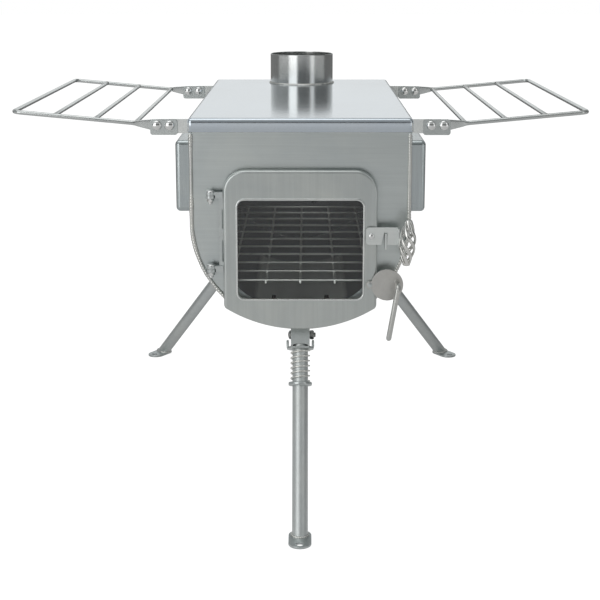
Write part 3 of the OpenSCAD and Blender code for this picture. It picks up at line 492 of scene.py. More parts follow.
def facing_front(x: float = 0.0, y: float = 0.0, z: float = 0.0) -> np.ndarray:
    """A place with its Z turned to the stove's front and its Y up."""
    return moved(x, y, z) @ spun("x", 90)


def pivot_pin(x: float, z: float, spacer: Pair, head: Pair, head_y: float, stem: float) -> Surface:
    """A pin through the door's sheet: a spacer on it, a domed head in front, a stem within.

    Args:
        x: The pin's place across.
        z: Its height.
        spacer: Radius and thickness of the spacer.
        head: Radius and height of the head.
        head_y: Where the head starts.
        stem: Length of the stem.

    Returns:
        The three as one surface.
    """
    stem_r, sheet = 1.9, 1.5
    disc = washer(stem_r, spacer[0], 0, spacer[1], 0.3).placed(facing_front(x, DOOR_FACE, z))
    button = dome(*head).placed(facing_front(x, head_y, z))
    shank = turned(np.array([[stem_r, 0.0], [stem_r, stem]]), 24)
    return together(disc, button, shank.placed(facing_front(x, DOOR_FACE + sheet, z)))


# ---------------------------------------------------------------- finishes


def linear(tone: Tone, scale: Triple = (1.0, 1.0, 1.0)) -> Colour:
    """An 8-bit sRGB colour as the shader's linear one, ((c + 0.055) / 1.055) ^ 2.4, scaled."""
    c = np.asarray(tone, float) / 255
    low, high = c / 12.92, ((c + 0.055) / 1.055) ** 2.4
    r, g, b = np.where(c <= 0.04045, low, high) * np.array(scale)
    return float(r), float(g), float(b), 1.0


class Brush(Enum):
    """Direction of the brushing, as the noise's scales along X, Y and Z."""

    ALONG_X = (22.0, 950.0, 950.0)
    ALONG_Y = (950.0, 22.0, 950.0)
    ALONG_Z = (950.0, 950.0, 22.0)
    NONE = (420.0, 420.0, 420.0)


class NodeSheet:
    """A node tree with short calls for adding and joining nodes."""

    def __init__(self, tree: bpy.types.NodeTree) -> None:
        """Keeps the tree to work on."""
        self.tree = tree

    def feed(self, *inputs: tuple[Socket, object]) -> None:
        """Gives each input socket its value: a link where that is a socket, or else a number."""
        for socket, value in inputs:
            if isinstance(value, Socket):
                self.tree.links.new(value, socket)
            else:
                socket.default_value = value

    def add(self, kind: str, **settings: object) -> bpy.types.Node:
        """A new node: settings that name a property set it, and others feed an input socket."""
        node = self.tree.nodes.new(kind)
        for key, value in settings.items():
            if hasattr(node, key):
                setattr(node, key, value)
            else:
                self.feed((node.inputs[key.replace("_", " ")], value))
        return node

    def maths(self, operation: str, *values: object, clamp: bool = False) -> Socket:
        """A Math node on numbers or sockets, and its result."""
        node = self.add("ShaderNodeMath", operation=operation, use_clamp=clamp)
        self.feed(*zip(node.inputs, values))
        return node.outputs[0]

    def swing(self, value: Socket, factor: float, start: object) -> Socket:
        """Start + factor (value - 0.5): a number that a noise moves up and down."""
        return self.maths("MULTIPLY_ADD", self.maths("SUBTRACT", value, 0.5), factor, start)

    def blend(self, share: object, first: object, second: object) -> Socket:
        """A Mix node on two colours, and its colour."""
        node = self.add("ShaderNodeMix", data_type="RGBA")
        self.feed((node.inputs[0], share), (node.inputs[6], first), (node.inputs[7], second))
        return node.outputs[2]

    def axes(self, vector: Socket) -> Sockets:
        """The X, Y and Z of a vector."""
        return self.add("ShaderNodeSeparateXYZ", Vector=vector).outputs


FLOAT, VECTOR = "NodeSocketFloat", "NodeSocketVector"


def node_group(
    name: str, takes: dict[str, str], gives: dict[str, str]
) -> tuple[NodeSheet, Sockets, Sockets]:
    """An empty shader group with named sockets.

    Args:
        name: The group's name.
        takes: Input names and their socket kinds.
        gives: Output names and their socket kinds.

    Returns:
        The group's sheet, the sockets that it takes from and those that it gives to.
    """
    tree = bpy.data.node_groups.new(name, "ShaderNodeTree")
    for way, sockets in (("INPUT", takes), ("OUTPUT", gives)):
        for key, kind in sockets.items():
            tree.interface.new_socket(key, in_out=way, socket_type=kind)
    sheet = NodeSheet(tree)
    return sheet, sheet.add("NodeGroupInput").outputs, sheet.add("NodeGroupOutput").inputs


def brushed_grain() -> bpy.types.NodeTree:
    """Streaks of a brushed face: fine and broad noise stretched by the Vector's own scale."""
    sheet, takes, gives = node_group(
        "brushed_grain", {"Vector": VECTOR, "Broad": FLOAT}, {"Streak": FLOAT, "Band": FLOAT})
    place = takes["Vector"]
    fine = sheet.add("ShaderNodeTexNoise", Scale=1.0, Detail=4.0, Roughness=0.65, Vector=place)
    wide = sheet.add("ShaderNodeTexNoise", Detail=3.0, Roughness=0.6, Vector=place, Scale=takes["Broad"])
    sheet.feed((gives["Streak"], fine.outputs["Fac"]), (gives["Band"], wide.outputs["Fac"]))
    return sheet.tree


def handled_metal() -> bpy.types.NodeTree:
    """Marks of handling: soft clouds of rolling and wiping, and rare small pits."""
    sheet, takes, gives = node_group(
        "handled_metal", {"Vector": VECTOR, "Size": FLOAT}, {"Cloud": FLOAT, "Pit": FLOAT})
    place = takes["Vector"]
    cloud = sheet.add("ShaderNodeTexNoise", Detail=5.0, Roughness=0.55, Distortion=0.6, Vector=place,
                      Scale=takes["Size"])
    spread = sheet.add("ShaderNodeMapRange", From_Min=0.3, From_Max=0.7, Value=cloud.outputs["Fac"])
    cells = sheet.add("ShaderNodeTexVoronoi", Scale=900.0, Vector=place)
    rare = sheet.add("ShaderNodeTexNoise", Scale=60.0, Detail=1.0, Vector=place)
    small = sheet.maths("LESS_THAN", cells.outputs["Distance"], 0.16)
    pit = sheet.maths("MULTIPLY", small, sheet.maths("GREATER_THAN", rare.outputs["Fac"], 0.62))
    sheet.feed((gives["Cloud"], spread.outputs["Result"]), (gives["Pit"], pit))
    return sheet.tree


def worn_edge() -> bpy.types.NodeTree:
    """Edges rubbed round and bright: the Bevel node's normal, and how far it leaves the face's own."""
    sheet, takes, gives = node_group("worn_edge", {"Radius": FLOAT}, {"Edge": FLOAT, "Normal": VECTOR})
    soft = sheet.add("ShaderNodeBevel", samples=4, Radius=takes["Radius"]).outputs["Normal"]
    own = sheet.add("ShaderNodeNewGeometry").outputs["Normal"]
    dot = sheet.add("ShaderNodeVectorMath", operation="DOT_PRODUCT")
    sheet.feed((dot.inputs[0], soft), (dot.inputs[1], own))
    away = sheet.maths("MULTIPLY", sheet.maths("SUBTRACT", 1.0, dot.outputs["Value"]), 3.0, clamp=True)
    sheet.feed((gives["Edge"], away), (gives["Normal"], soft))
    return sheet.tree


# Painted pool of light on the firebox floor: its (middle, half, fade) in metres across X and along Y, and the
# height in metres below which it lies.
PAINTED_LIGHT_X, PAINTED_LIGHT_Y = (0.0, 0.052, 0.006), (-0.066, 0.11, 0.02)
PAINTED_LIGHT_TOP = 0.245


def inside_painted_shade_and_light() -> bpy.types.NodeTree:
    """Masks of the firebox's inner faces, which take painted shade, and of a painted pool of light on its
    floor.

    The distance to the axis is the length of (x, min(z - axis, 0)); the mask is 1 where it is
    less than the wall's middle and y lies between the plates' middles. The painted light patch is a soft
    rectangle at the bottom: the product of 1 - clamp((|p - middle| - half) / fade) for p = x and
    p = y, with (middle, half, fade) in metres as the X and Y constants above this function.
    """
    sheet, takes, gives = node_group("inside_painted_shade_and_light", {"Vector": VECTOR}, {"Mask": FLOAT, "PaintedLight": FLOAT})
    x, y, z = sheet.axes(takes["Vector"])
    low = sheet.maths("MINIMUM", sheet.maths("SUBTRACT", z, AXIS_Z * MM), 0.0)
    square = sheet.maths("ADD", sheet.maths("MULTIPLY", x, x), sheet.maths("MULTIPLY", low, low))
    wall = sheet.maths("LESS_THAN", sheet.maths("SQRT", square), (BODY_R - 0.75) * MM)
    front = sheet.maths("GREATER_THAN", y, (FRONT_Y + 1.0 - MID_Y) * MM)
    back = sheet.maths("LESS_THAN", y, (BACK_Y - 1.0 - MID_Y) * MM)
    mask = sheet.maths("MULTIPLY", wall, sheet.maths("MULTIPLY", front, back))
    # The painted pool of light: a soft rectangle low on the firebox floor.
    painted_light = sheet.maths("MULTIPLY", mask, sheet.maths("LESS_THAN", z, PAINTED_LIGHT_TOP))
    for axis, (middle, half, fade) in ((x, PAINTED_LIGHT_X), (y, PAINTED_LIGHT_Y)):
        away = sheet.maths("ABSOLUTE", sheet.maths("SUBTRACT", axis, middle))
        outside = sheet.maths("DIVIDE", sheet.maths("SUBTRACT", away, half), fade, clamp=True)
        painted_light = sheet.maths("MULTIPLY", painted_light, sheet.maths("SUBTRACT", 1.0, outside))
    sheet.feed((gives["Mask"], mask), (gives["PaintedLight"], painted_light))
    return sheet.tree


class SharedEffects:
    """The node groups of the finishes, each made once."""

    def __init__(self) -> None:
        """Builds the four groups."""
        self.inside = inside_painted_shade_and_light()
        self.grain = brushed_grain()
        self.marks = handled_metal()
        self.edge = worn_edge()


def emptied(
    owner: bpy.types.Material | bpy.types.World, output: str = "ShaderNodeOutputMaterial"
) -> tuple[NodeSheet, Socket]:
    """The owner's node tree with nothing in it but an output.

    Args:
        owner: What the tree belongs to.
        output: Kind of the output node.

    Returns:
        The tree's sheet and the output's Surface socket.
    """
    owner.use_nodes = True
    owner.node_tree.nodes.clear()
    sheet = NodeSheet(owner.node_tree)
    return sheet, sheet.add(output).inputs["Surface"]


STRAW = (1.02, 0.985, 0.94)
RUBBED = (0.86, 0.87, 0.87, 1.0)
# Colour of the painted shade on the firebox's inner faces.
PAINTED_SHADE = (0.035, 0.036, 0.045, 1.0)
# Colour of the painted pool of light on the firebox floor.
PAINTED_LIGHT_TONE = (0.93, 0.92, 0.86, 1.0)
BAND_SCALE, CLOUD_SCALE = 0.28, 14.0
GRAIN_DEPTH = 0.0004


@dataclass(frozen=True)
class Finish:
    """What a piece's surface is: the material's name, the slot that it belongs to, its tone."""

    name: str
    slot: str
    tone: Tone

    def material(self, effects: SharedEffects) -> bpy.types.Material:
        """The finish as a material.

        Args:
            effects: The shared node groups.

        Returns:
            The new material.
        """
        mat = bpy.data.materials.new(self.name)
        sheet, surface = emptied(mat)
        place = sheet.add("ShaderNodeTexCoord").outputs["Object"]
        sheet.feed((surface, self.shader(sheet, place, effects).outputs[0]))
        return mat

    def shader(self, sheet: NodeSheet, place: Socket, effects: SharedEffects) -> bpy.types.Node:
        """The finish's own shader, from the place on the piece and the shared node groups."""
        raise NotImplementedError


@dataclass(frozen=True)
class Steel(Finish):
    """A stainless finish: its gloss, and how its brushing and handling show."""

    roughness: float
    brush: Brush = Brush.NONE
    streak: float = 0.10
    band: float = 0.06
    cloud: float = 0.07
    relief: float = 0.15
    edge: float = 0.0
    warm: float = 0.0
    # How far painted shade darkens the firebox's inner faces; it also brings the painted pool of light on the
    # firebox floor.
    inside_shade: float = 0.0

    def shader(self, sheet: NodeSheet, place: Socket, effects: SharedEffects) -> bpy.types.Node:
        """Brushed metal.

        The tone is scaled by 1 + 2 s (streak - 0.5) + 3 b (band - 0.5) + 1.4 c (cloud - 0.5),
        and the roughness moves by 0.7 s (streak - 0.5) + c (cloud - 0.5) + 0.15 pit, with the
        finish's own s, b and c. Edges turn brighter, and the streaks and pits feed a Bump.

        Args:
            sheet: The tree to build in.
            place: Where on the piece.
            effects: The shared node groups.

        Returns:
            The shader's node.
        """
        shader = sheet.add("ShaderNodeBsdfPrincipled", Metallic=1.0)
        stretched = sheet.add("ShaderNodeMapping", Scale=self.brush.value, Vector=place).outputs[0]
        grain = sheet.add("ShaderNodeGroup", node_tree=effects.grain, Vector=stretched, Broad=BAND_SCALE)
        marks = sheet.add("ShaderNodeGroup", node_tree=effects.marks, Vector=place, Size=CLOUD_SCALE)
        streak, band = grain.outputs["Streak"], grain.outputs["Band"]
        cloud, pit = marks.outputs["Cloud"], marks.outputs["Pit"]
        shade, rough = 1.0, self.roughness
        marked = ((streak, self.streak * 2.0), (band, self.band * 3.0), (cloud, self.cloud * 1.4))
        for value, factor in marked:
            shade = sheet.swing(value, factor, shade)
        for value, factor in ((streak, self.streak * 0.7), (cloud, self.cloud)):
            rough = sheet.swing(value, factor, rough)
        straw = sheet.maths("MULTIPLY", cloud, 0.45 + self.warm, clamp=True)
        base = sheet.blend(straw, linear(self.tone), linear(self.tone, STRAW))
        tint = sheet.add("ShaderNodeVectorMath", operation="SCALE", Scale=shade)
        sheet.feed((tint.inputs[0], base))
        colour = tint.outputs[0]
        rough = sheet.maths("ADD", rough, sheet.maths("MULTIPLY", pit, 0.15), clamp=True)
        height = sheet.maths("SUBTRACT", streak, sheet.maths("MULTIPLY", pit, 0.5))
        bump = sheet.add("ShaderNodeBump", Strength=self.relief, Distance=GRAIN_DEPTH, Height=height)
        if self.edge > 0:
            worn = sheet.add("ShaderNodeGroup", node_tree=effects.edge, Radius=self.edge * MM)
            sheet.feed((bump.inputs["Normal"], worn.outputs["Normal"]))
            colour = sheet.blend(sheet.maths("MULTIPLY", worn.outputs["Edge"], 0.35), colour, RUBBED)
        # Inside the firebox, painted shade darkens the colour, and a painted pool of light on the floor makes
        # it pale and less metallic.
        if self.inside_shade > 0:
            inside = sheet.add("ShaderNodeGroup", node_tree=effects.inside, Vector=place)
            colour = sheet.blend(sheet.maths("MULTIPLY", inside.outputs["Mask"], self.inside_shade), colour, PAINTED_SHADE)
            # The painted pool of light follows the brushing streaks.
            painted_light_streak = sheet.maths("ADD", streak, 0.25)
            painted_light = sheet.maths("MULTIPLY", inside.outputs["PaintedLight"], painted_light_streak, clamp=True)
            colour = sheet.blend(painted_light, colour, PAINTED_LIGHT_TONE)
            sheet.feed((shader.inputs["Metallic"], sheet.maths("MULTIPLY_ADD", painted_light, -1.0, 1.0)))
            rough = sheet.maths("MULTIPLY_ADD", inside.outputs["Mask"], 0.12, rough, clamp=True)
        sheet.feed((shader.inputs["Base Color"], colour), (shader.inputs["Roughness"], rough),
                   (shader.inputs["Normal"], bump.outputs[0]))
        return shader


class WindowGlass(Finish):
    """Heat-proof glass: clear and a little grey, with clouds of haze."""

    def shader(self, sheet: NodeSheet, place: Socket, effects: SharedEffects) -> bpy.types.Node:
        """Glass whose tone and roughness move with the clouds."""
        marks = sheet.add("ShaderNodeGroup", node_tree=effects.marks, Vector=place, Size=22.0)
        cloud = marks.outputs["Cloud"]
        colour = sheet.blend(cloud, linear(self.tone), linear(self.tone, (0.93, 0.94, 0.93)))
        return sheet.add(
            "ShaderNodeBsdfPrincipled", Metallic=0.0, IOR=1.45, Transmission_Weight=1.0,
            Base_Color=colour, Roughness=sheet.maths("MULTIPLY", cloud, 0.03))


class FibreRope(Finish):
    """Braided glass-fibre rope: pale, matt and hairy, sooty in places."""

    def shader(self, sheet: NodeSheet, place: Socket, effects: SharedEffects) -> bpy.types.Node:
        """Rope whose fine fibres move its tone, its roughness and a Bump."""
        fibre = sheet.add("ShaderNodeTexNoise", Scale=1800.0, Detail=3.0, Vector=place).outputs["Fac"]
        marks = sheet.add("ShaderNodeGroup", node_tree=effects.marks, Vector=place, Size=80.0)
        cloud = marks.outputs["Cloud"]
        pale = sheet.blend(fibre, linear(self.tone, (0.6, 0.58, 0.55)), linear(self.tone))
        sooty = sheet.blend(sheet.maths("MULTIPLY", cloud, 0.35), pale, (0.12, 0.11, 0.1, 1.0))
        bump = sheet.add("ShaderNodeBump", Strength=0.6, Distance=0.0006, Height=fibre)
        return sheet.add(
            "ShaderNodeBsdfPrincipled", Metallic=0.0, Sheen_Weight=0.3, Base_Color=sooty,
            Roughness=sheet.maths("MULTIPLY_ADD", fibre, 0.2, 0.75), Normal=bump.outputs[0])


SATIN = Steel("satin_sheet", "satin_steel", (201, 207, 208), 0.34, Brush.ALONG_Z, edge=0.5)
# The firebox sheet and the plates take painted shade on their inner faces and a painted pool of light on the
# firebox floor.
FIREBOX = Steel("firebox_sheet", "satin_steel", (201, 207, 208), 0.34, Brush.ALONG_Z, inside_shade=0.78)
FRONT = Steel("front_sheet", "satin_steel", (204, 211, 211), 0.33, Brush.ALONG_X,
              streak=0.05, cloud=0.07, inside_shade=0.78)
SATIN_DOOR = Steel("satin_door", "satin_steel", (200, 206, 205), 0.35, Brush.ALONG_Z,
                   streak=0.05, cloud=0.11, warm=0.1)
SATIN_BOX = Steel("satin_housing", "satin_steel", (184, 192, 194), 0.23, Brush.ALONG_Z, band=0.10)
PLATE = Steel("satin_plate", "satin_steel", (203, 209, 209), 0.31, streak=0.14, edge=0.4)
POLISHED_LID = Steel("polished_lid", "polished_steel", (198, 207, 215), 0.12, Brush.ALONG_Y,
                     streak=0.03, band=0.02, cloud=0.03, relief=0.02)
COLLAR = Steel("polished_collar", "brushed_steel", (214, 217, 217), 0.19, Brush.ALONG_Z,
               streak=0.05, band=0.04, cloud=0.05, relief=0.03)
TUBE = Steel("drawn_tube", "brushed_steel", (213, 218, 218), 0.48, streak=0.06, cloud=0.06, relief=0.05)
WIRE = Steel("bright_wire", "bright_wire", (203, 207, 207), 0.2, streak=0.05, relief=0.04)
CAGE = Steel("twisted_wire", "bright_wire", (222, 223, 221), 0.10, streak=0.04, relief=0.03)
SPRING_WIRE = Steel("spring_wire", "spring_wire", (240, 241, 238), 0.24, streak=0.04, relief=0.04)
CHROME = Steel("chromed_heads", "polished_steel", (228, 230, 230), 0.06, streak=0.03, cloud=0.04, relief=0.02)
LIP = Steel("rubbed_lip", "polished_steel", (226, 230, 229), 0.2, streak=0.05, cloud=0.08, relief=0.05)
DARK_BOLT = Steel("plain_bolt", "brushed_steel", (150, 152, 151), 0.22)
GRATE_WIRE = Steel("grate_wire", "grate_wire", (244, 243, 238), 0.36, streak=0.05, warm=0.2)
DISC = Steel("satin_disc", "satin_steel", (206, 206, 203), 0.36, streak=0.05, cloud=0.10, warm=0.05)
LEVER = Steel("satin_lever", "bright_wire", (206, 208, 206), 0.30, streak=0.05, warm=0.1)
WELD = Steel("weld_metal", "satin_steel", (214, 216, 214), 0.2, streak=0.14, cloud=0.2, relief=0.2, warm=0.3)
LATCH_BAR = Steel("latch_sheet", "satin_steel", (228, 233, 232), 0.30, Brush.ALONG_X, streak=0.05, edge=0.5)
GLASS = WindowGlass("heat_proof_glass", "dark_glass", (228, 232, 233))
ROPE = FibreRope("sealing_rope", "sealing_rope", (206, 202, 190))


def linked(name: str, data: bpy.types.ID) -> bpy.types.Object:
    """A new object in the scene."""
    made = bpy.data.objects.new(name, data)
    bpy.context.scene.collection.objects.link(made)
    return made


# ---------------------------------------------------------------- workshop


@dataclass
class Workshop:
    """Makes pieces from surfaces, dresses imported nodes, and keeps one material per finish."""

    frame: dict
    effects: SharedEffects = field(default_factory=SharedEffects)
    materials: dict[str, bpy.types.Material] = field(default_factory=dict)

    def stuff(self, finish: Finish) -> bpy.types.Material:
        """The finish's material, made at its first use."""
        if finish.name not in self.materials:
            self.materials[finish.name] = finish.material(self.effects)
        return self.materials[finish.name]

    def dress(self, finish: Finish, *nodes: str) -> None:
        """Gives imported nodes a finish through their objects' material slots."""
        for name in nodes:
            node = self.frame["nodes"][name]
            if not node.material_slots:
                node.data.materials.append(None)
            for slot in node.material_slots:
                slot.material = self.stuff(finish)
            log.info("dressed %s in %s", name, finish.name)

    def piece(self, name: str, surface: Surface, finish: Finish, body: str, *stands_for: str,
              crease: float = 32.0) -> bpy.types.Object:
        """A piece from a surface: doubles merged, faces outwards, smooth up to the crease.

        Args:
            name: The piece's name.
            surface: Its surface in stove millimetres.
            finish: Its finish.
            body: The body that it rides on.
            stands_for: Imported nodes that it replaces.
            crease: Angle between faces above which an edge stays sharp, in degrees.

        Returns:
            The new object.
        """
        mesh = bpy.data.meshes.new(name)
        faces = surface.quads.tolist() + [list(f) for f in surface.ends]
        mesh.from_pydata(to_row(surface.points).tolist(), [], faces)
        work = bmesh.new()
        work.from_mesh(mesh)
        bmesh.ops.remove_doubles(work, verts=work.verts, dist=2e-6)
        bmesh.ops.dissolve_degenerate(work, dist=1e-7, edges=work.edges)
        bmesh.ops.recalc_face_normals(work, faces=work.faces)
        work.to_mesh(mesh)
        work.free()
        mesh.shade_smooth()
        mesh.set_sharp_from_angle(angle=math.radians(crease))
        made = linked(name, mesh)
        mesh.materials.append(self.stuff(finish))
        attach(made, body)
        if stands_for:
            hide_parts(*stands_for)
        log.info("made %s with %d faces", name, len(mesh.polygons))
        return made

    def weld(self, name: str, surface: Surface, body: str = "stove") -> None:
        """A piece of weld metal, smooth over its drops."""
        self.piece(name, surface, WELD, body, crease=80.0)


# ---------------------------------------------------------------- body


def u_path(radius: float, top: float, y: float) -> Points:
    """Line down the left side, round the bottom and up the right side of the firebox."""
    bottom = arc((0, AXIS_Z), radius, 180, 360, 120)
    return upright(np.concatenate([[[-radius, top]], bottom, [[radius, top]]]), y)


@dataclass
class Firebox:
    """The U-shaped shell, the plates welded into its ends, the mouth's seat and the air inlet."""

    weld_r: float = 2.6
    weld_in: float = 1.9
    weld_top: float = 451.2

    def build(self, shop: Workshop) -> None:
        """Dresses the sheets and lays the two weld beads."""
        shop.dress(FIREBOX, "body_shell")
        shop.dress(FRONT, "front_plate", "back_plate", "door_seat")
        shop.dress(TUBE, "air_inlet_tube")
        for name, y, seed in (("front_weld", FRONT_Y, 5), ("back_weld", BACK_Y, 9)):
            path = even(u_path(BODY_R - self.weld_in, self.weld_top, y), 0.34)
            shop.weld(name, bead(path, self.weld_r, (0, 1, 0), seed=seed))


@dataclass
class Lid:
    """The polished cooking top: a tray of sheet, its corners welded and its flue hole cut."""

    width: float = 254.0
    rim: float = 15.5
    bend: float = 4.5
    sheet: float = 1.5
    hole_r: float = 44.0
    corner: float = 4.7
    seam_r: float = 0.8

    def outline(self, inset: float) -> Points:
        """The lid's outline drawn in by an inset."""
        box = rounded_box(self.width - 2 * inset, LID_LONG - 2 * inset, max(self.corner - inset, 0.2))
        return box + np.array([0, LID_LONG / 2])

    def hole(self, offset: float) -> Points:
        """The flue hole grown by an offset."""
        return ring(self.hole_r + offset, 96) + np.array([0, FLUE_Y])

    def section(self) -> Points:
        """Section from the hole over the top, round the bend, down the rim and back inside."""
        foot = LID_TOP - self.rim
        outside, inside = fold(self.bend, self.sheet, LID_TOP, 8)
        edge = [[1, 0, foot + 0.5], [1, 0.15, foot + 0.15], [1, 0.5, foot], [1, 1.1, foot],
                [1, self.sheet, foot + 0.4]]
        return np.concatenate([
            [[0, 0, LID_TOP], [0, 0.6, LID_TOP], [1, self.bend + 0.8, LID_TOP]],
            outside, edge, inside, [[0, 0, LID_TOP - self.sheet]],
        ])

    def build(self, shop: Workshop) -> None:
        """Makes the tray and the four corner seams, each on the middle of its round corner."""
        tray = pressed_panel(self.outline, self.hole, (0, FLUE_Y), self.section())
        shop.piece("cooking_top", tray, POLISHED_LID, "stove", "lid")
        seams = []
        inset = self.corner * (1 - math.sqrt(0.5)) + 0.25
        z = np.linspace(LID_TOP - self.rim + 0.8, LID_TOP - self.bend, 40)
        for x in SIDES:
            for y in (inset, LID_LONG - inset):
                line = upright(np.column_stack([np.full(40, x * (self.width / 2 - inset)), z]), y)
                seams.append(bead(line, self.seam_r, (0, 1, 0), pitch=1.3, seed=int(y) + 2 + x))
        shop.weld("lid_corner_seams", together(*seams))


@dataclass
class FlueCollar:
    """The flue collar: a rolled and welded ring of thin sheet, welded round its foot."""

    radius: float = 45.0
    height: float = 42.0
    wall: float = 1.0
    weld_r: float = 1.9
    seam_r: float = 0.9
    seam_at: float = 78.0

    def build(self, shop: Workshop) -> None:
        """Makes the ring with its two seams."""
        base = moved(0, FLUE_Y, LID_TOP)
        inner = self.radius - self.wall
        top = arc((self.radius - 0.5, self.height - 0.5), 0.5, 0, 180, 9)
        profile = np.concatenate([[[self.radius, 0.0], [self.radius, self.height - 1.2]], top,
                                  [[inner, self.height - 1.2], [inner, 0.0]]])
        tube = turned(profile, 160, ring_u=True).placed(base)
        shop.piece("flue_ring", tube, COLLAR, "stove", "flue_collar")
        circle = ring(self.radius + 0.1, 720)
        foot = np.column_stack([circle, np.full(720, 0.3)])
        shop.weld("flue_foot_weld", bead(foot, self.weld_r, (0, 0, 1), ring_u=True, pitch=1.9).placed(base))
        c, s = math.cos(math.radians(self.seam_at)), math.sin(math.radians(self.seam_at))
        line = np.column_stack([
            np.full(90, inner * c), np.full(90, inner * s), np.linspace(1.5, self.height - 0.6, 90)])
        shop.weld("flue_long_seam", bead(line, self.seam_r, (c, s, 0), pitch=1.6).placed(base))


@dataclass
class SideWindow:
    """One side housing with its long glass, the frame behind it and the weld round its foot."""

    side: int
    length: float = 330.0
    height: float = 83.5
    middle: Pair = (210.0, 394.25)
    corner: float = 5.0
    weld_r: float = 1.1

    def build(self, shop: Workshop) -> None:
        """Dresses the sheets and the glass and lays the weld."""
        name = SIDE_NAMES[self.side]
        shop.dress(SATIN_BOX, f"side_box_{name}")
        shop.dress(SATIN, f"side_frame_{name}")
        shop.dress(GLASS, f"side_glass_{name}")
        flat = even_loop(rounded_box(self.length, self.height, self.corner, 12), 0.4) + np.array(self.middle)
        path = np.column_stack([np.full(len(flat), BODY_R + 0.2), flat])
        weld = bead(path, self.weld_r, (1, 0, 0), ring_u=True, pitch=1.5, seed=20 + self.side)
        shop.weld(f"{name}_housing_weld", weld.mirrored(self.side))


@dataclass
class Grate:
    """The fire grate: cross wires over lengthwise rails, spot-welded where they cross."""

    wire_r: float = 1.4
    height: float = 277.0
    rail_height: float = 274.4
    half: float = 99.5
    first: float = 19.0
    pitch: float = 46.7
    crossings: int = 11
    rails: tuple[float, ...] = (-80.0, -40.0, 0.0, 40.0, 80.0)
    spot: Triple = (2.1, 2.1, 2.3)

    def build(self, shop: Workshop) -> None:
        """Makes the wires and the spots as one piece."""
        ys = self.first + self.pitch * np.arange(self.crossings)
        across = np.linspace(-self.half, self.half, 5)
        along = np.linspace(ys[0] - 2 * self.wire_r, ys[-1] + 2 * self.wire_r, 5)
        lines = [[[x, y, self.height] for x in across] for y in ys]
        lines += [[[x, y, self.rail_height] for y in along] for x in self.rails]
        parts = [rod(np.array(line), self.wire_r, count=16) for line in lines]
        ball = turned(arc((0, 0), 1, -90, 90, 7), 12)
        size = np.diag([*self.spot, 1.0])
        middle = (self.height + self.rail_height) / 2
        parts += [ball.placed(moved(x, y, middle) @ size) for x in self.rails for y in ys]
        shop.piece("grate_wires", together(*parts), GRATE_WIRE, "stove", "fire_grate")


# ---------------------------------------------------------------- door


@dataclass(frozen=True)
class Arch:
    """An arched outline: straight sides, round upper corners and a curved lower edge."""

    half: float
    top: float
    corner: float
    centre_z: float
    radius: float
    foot: float

    def outline(self, inset: float, count: int = 14) -> Points:
        """The outline drawn in by an inset, counter-clockwise from the lower right corner.

        The foot circle of radius f touches the side and the curved edge, so that its centre is
        at x = half - inset - f and z = centre_z - sqrt((radius - inset - f)^2 - x^2).

        Args:
            inset: Distance that the outline is drawn in, or out where it is negative.
            count: Points on each corner.

        Returns:
            Points (x, z).
        """
        half, corner, curve = self.half - inset, self.corner - inset, self.radius - inset
        foot = max(self.foot - inset, 0.05)
        x = half - foot
        z = self.centre_z - math.sqrt((curve - foot) ** 2 - x**2)
        lean = math.degrees(math.atan2(self.centre_z - z, x))
        return np.concatenate([
            arc((x, z), foot, -lean, 0, count),
            arc((half - corner, self.top - self.corner), corner, 0, 90, count),
            arc((corner - half, self.top - self.corner), corner, 90, 180, count),
            arc((-x, z), foot, 180, 180 + lean, count),
            arc((0, self.centre_z), curve, 180 + lean, 360 - lean, 5 * count)[1:-1],
        ])


DOOR_ARCH = Arch(87.0, 410.0, 25.0, 386.0, 160.2, 6.0)
MOUTH_ARCH = Arch(72.5, 396.0, 14.0, 349.0, 105.0, 10.0)


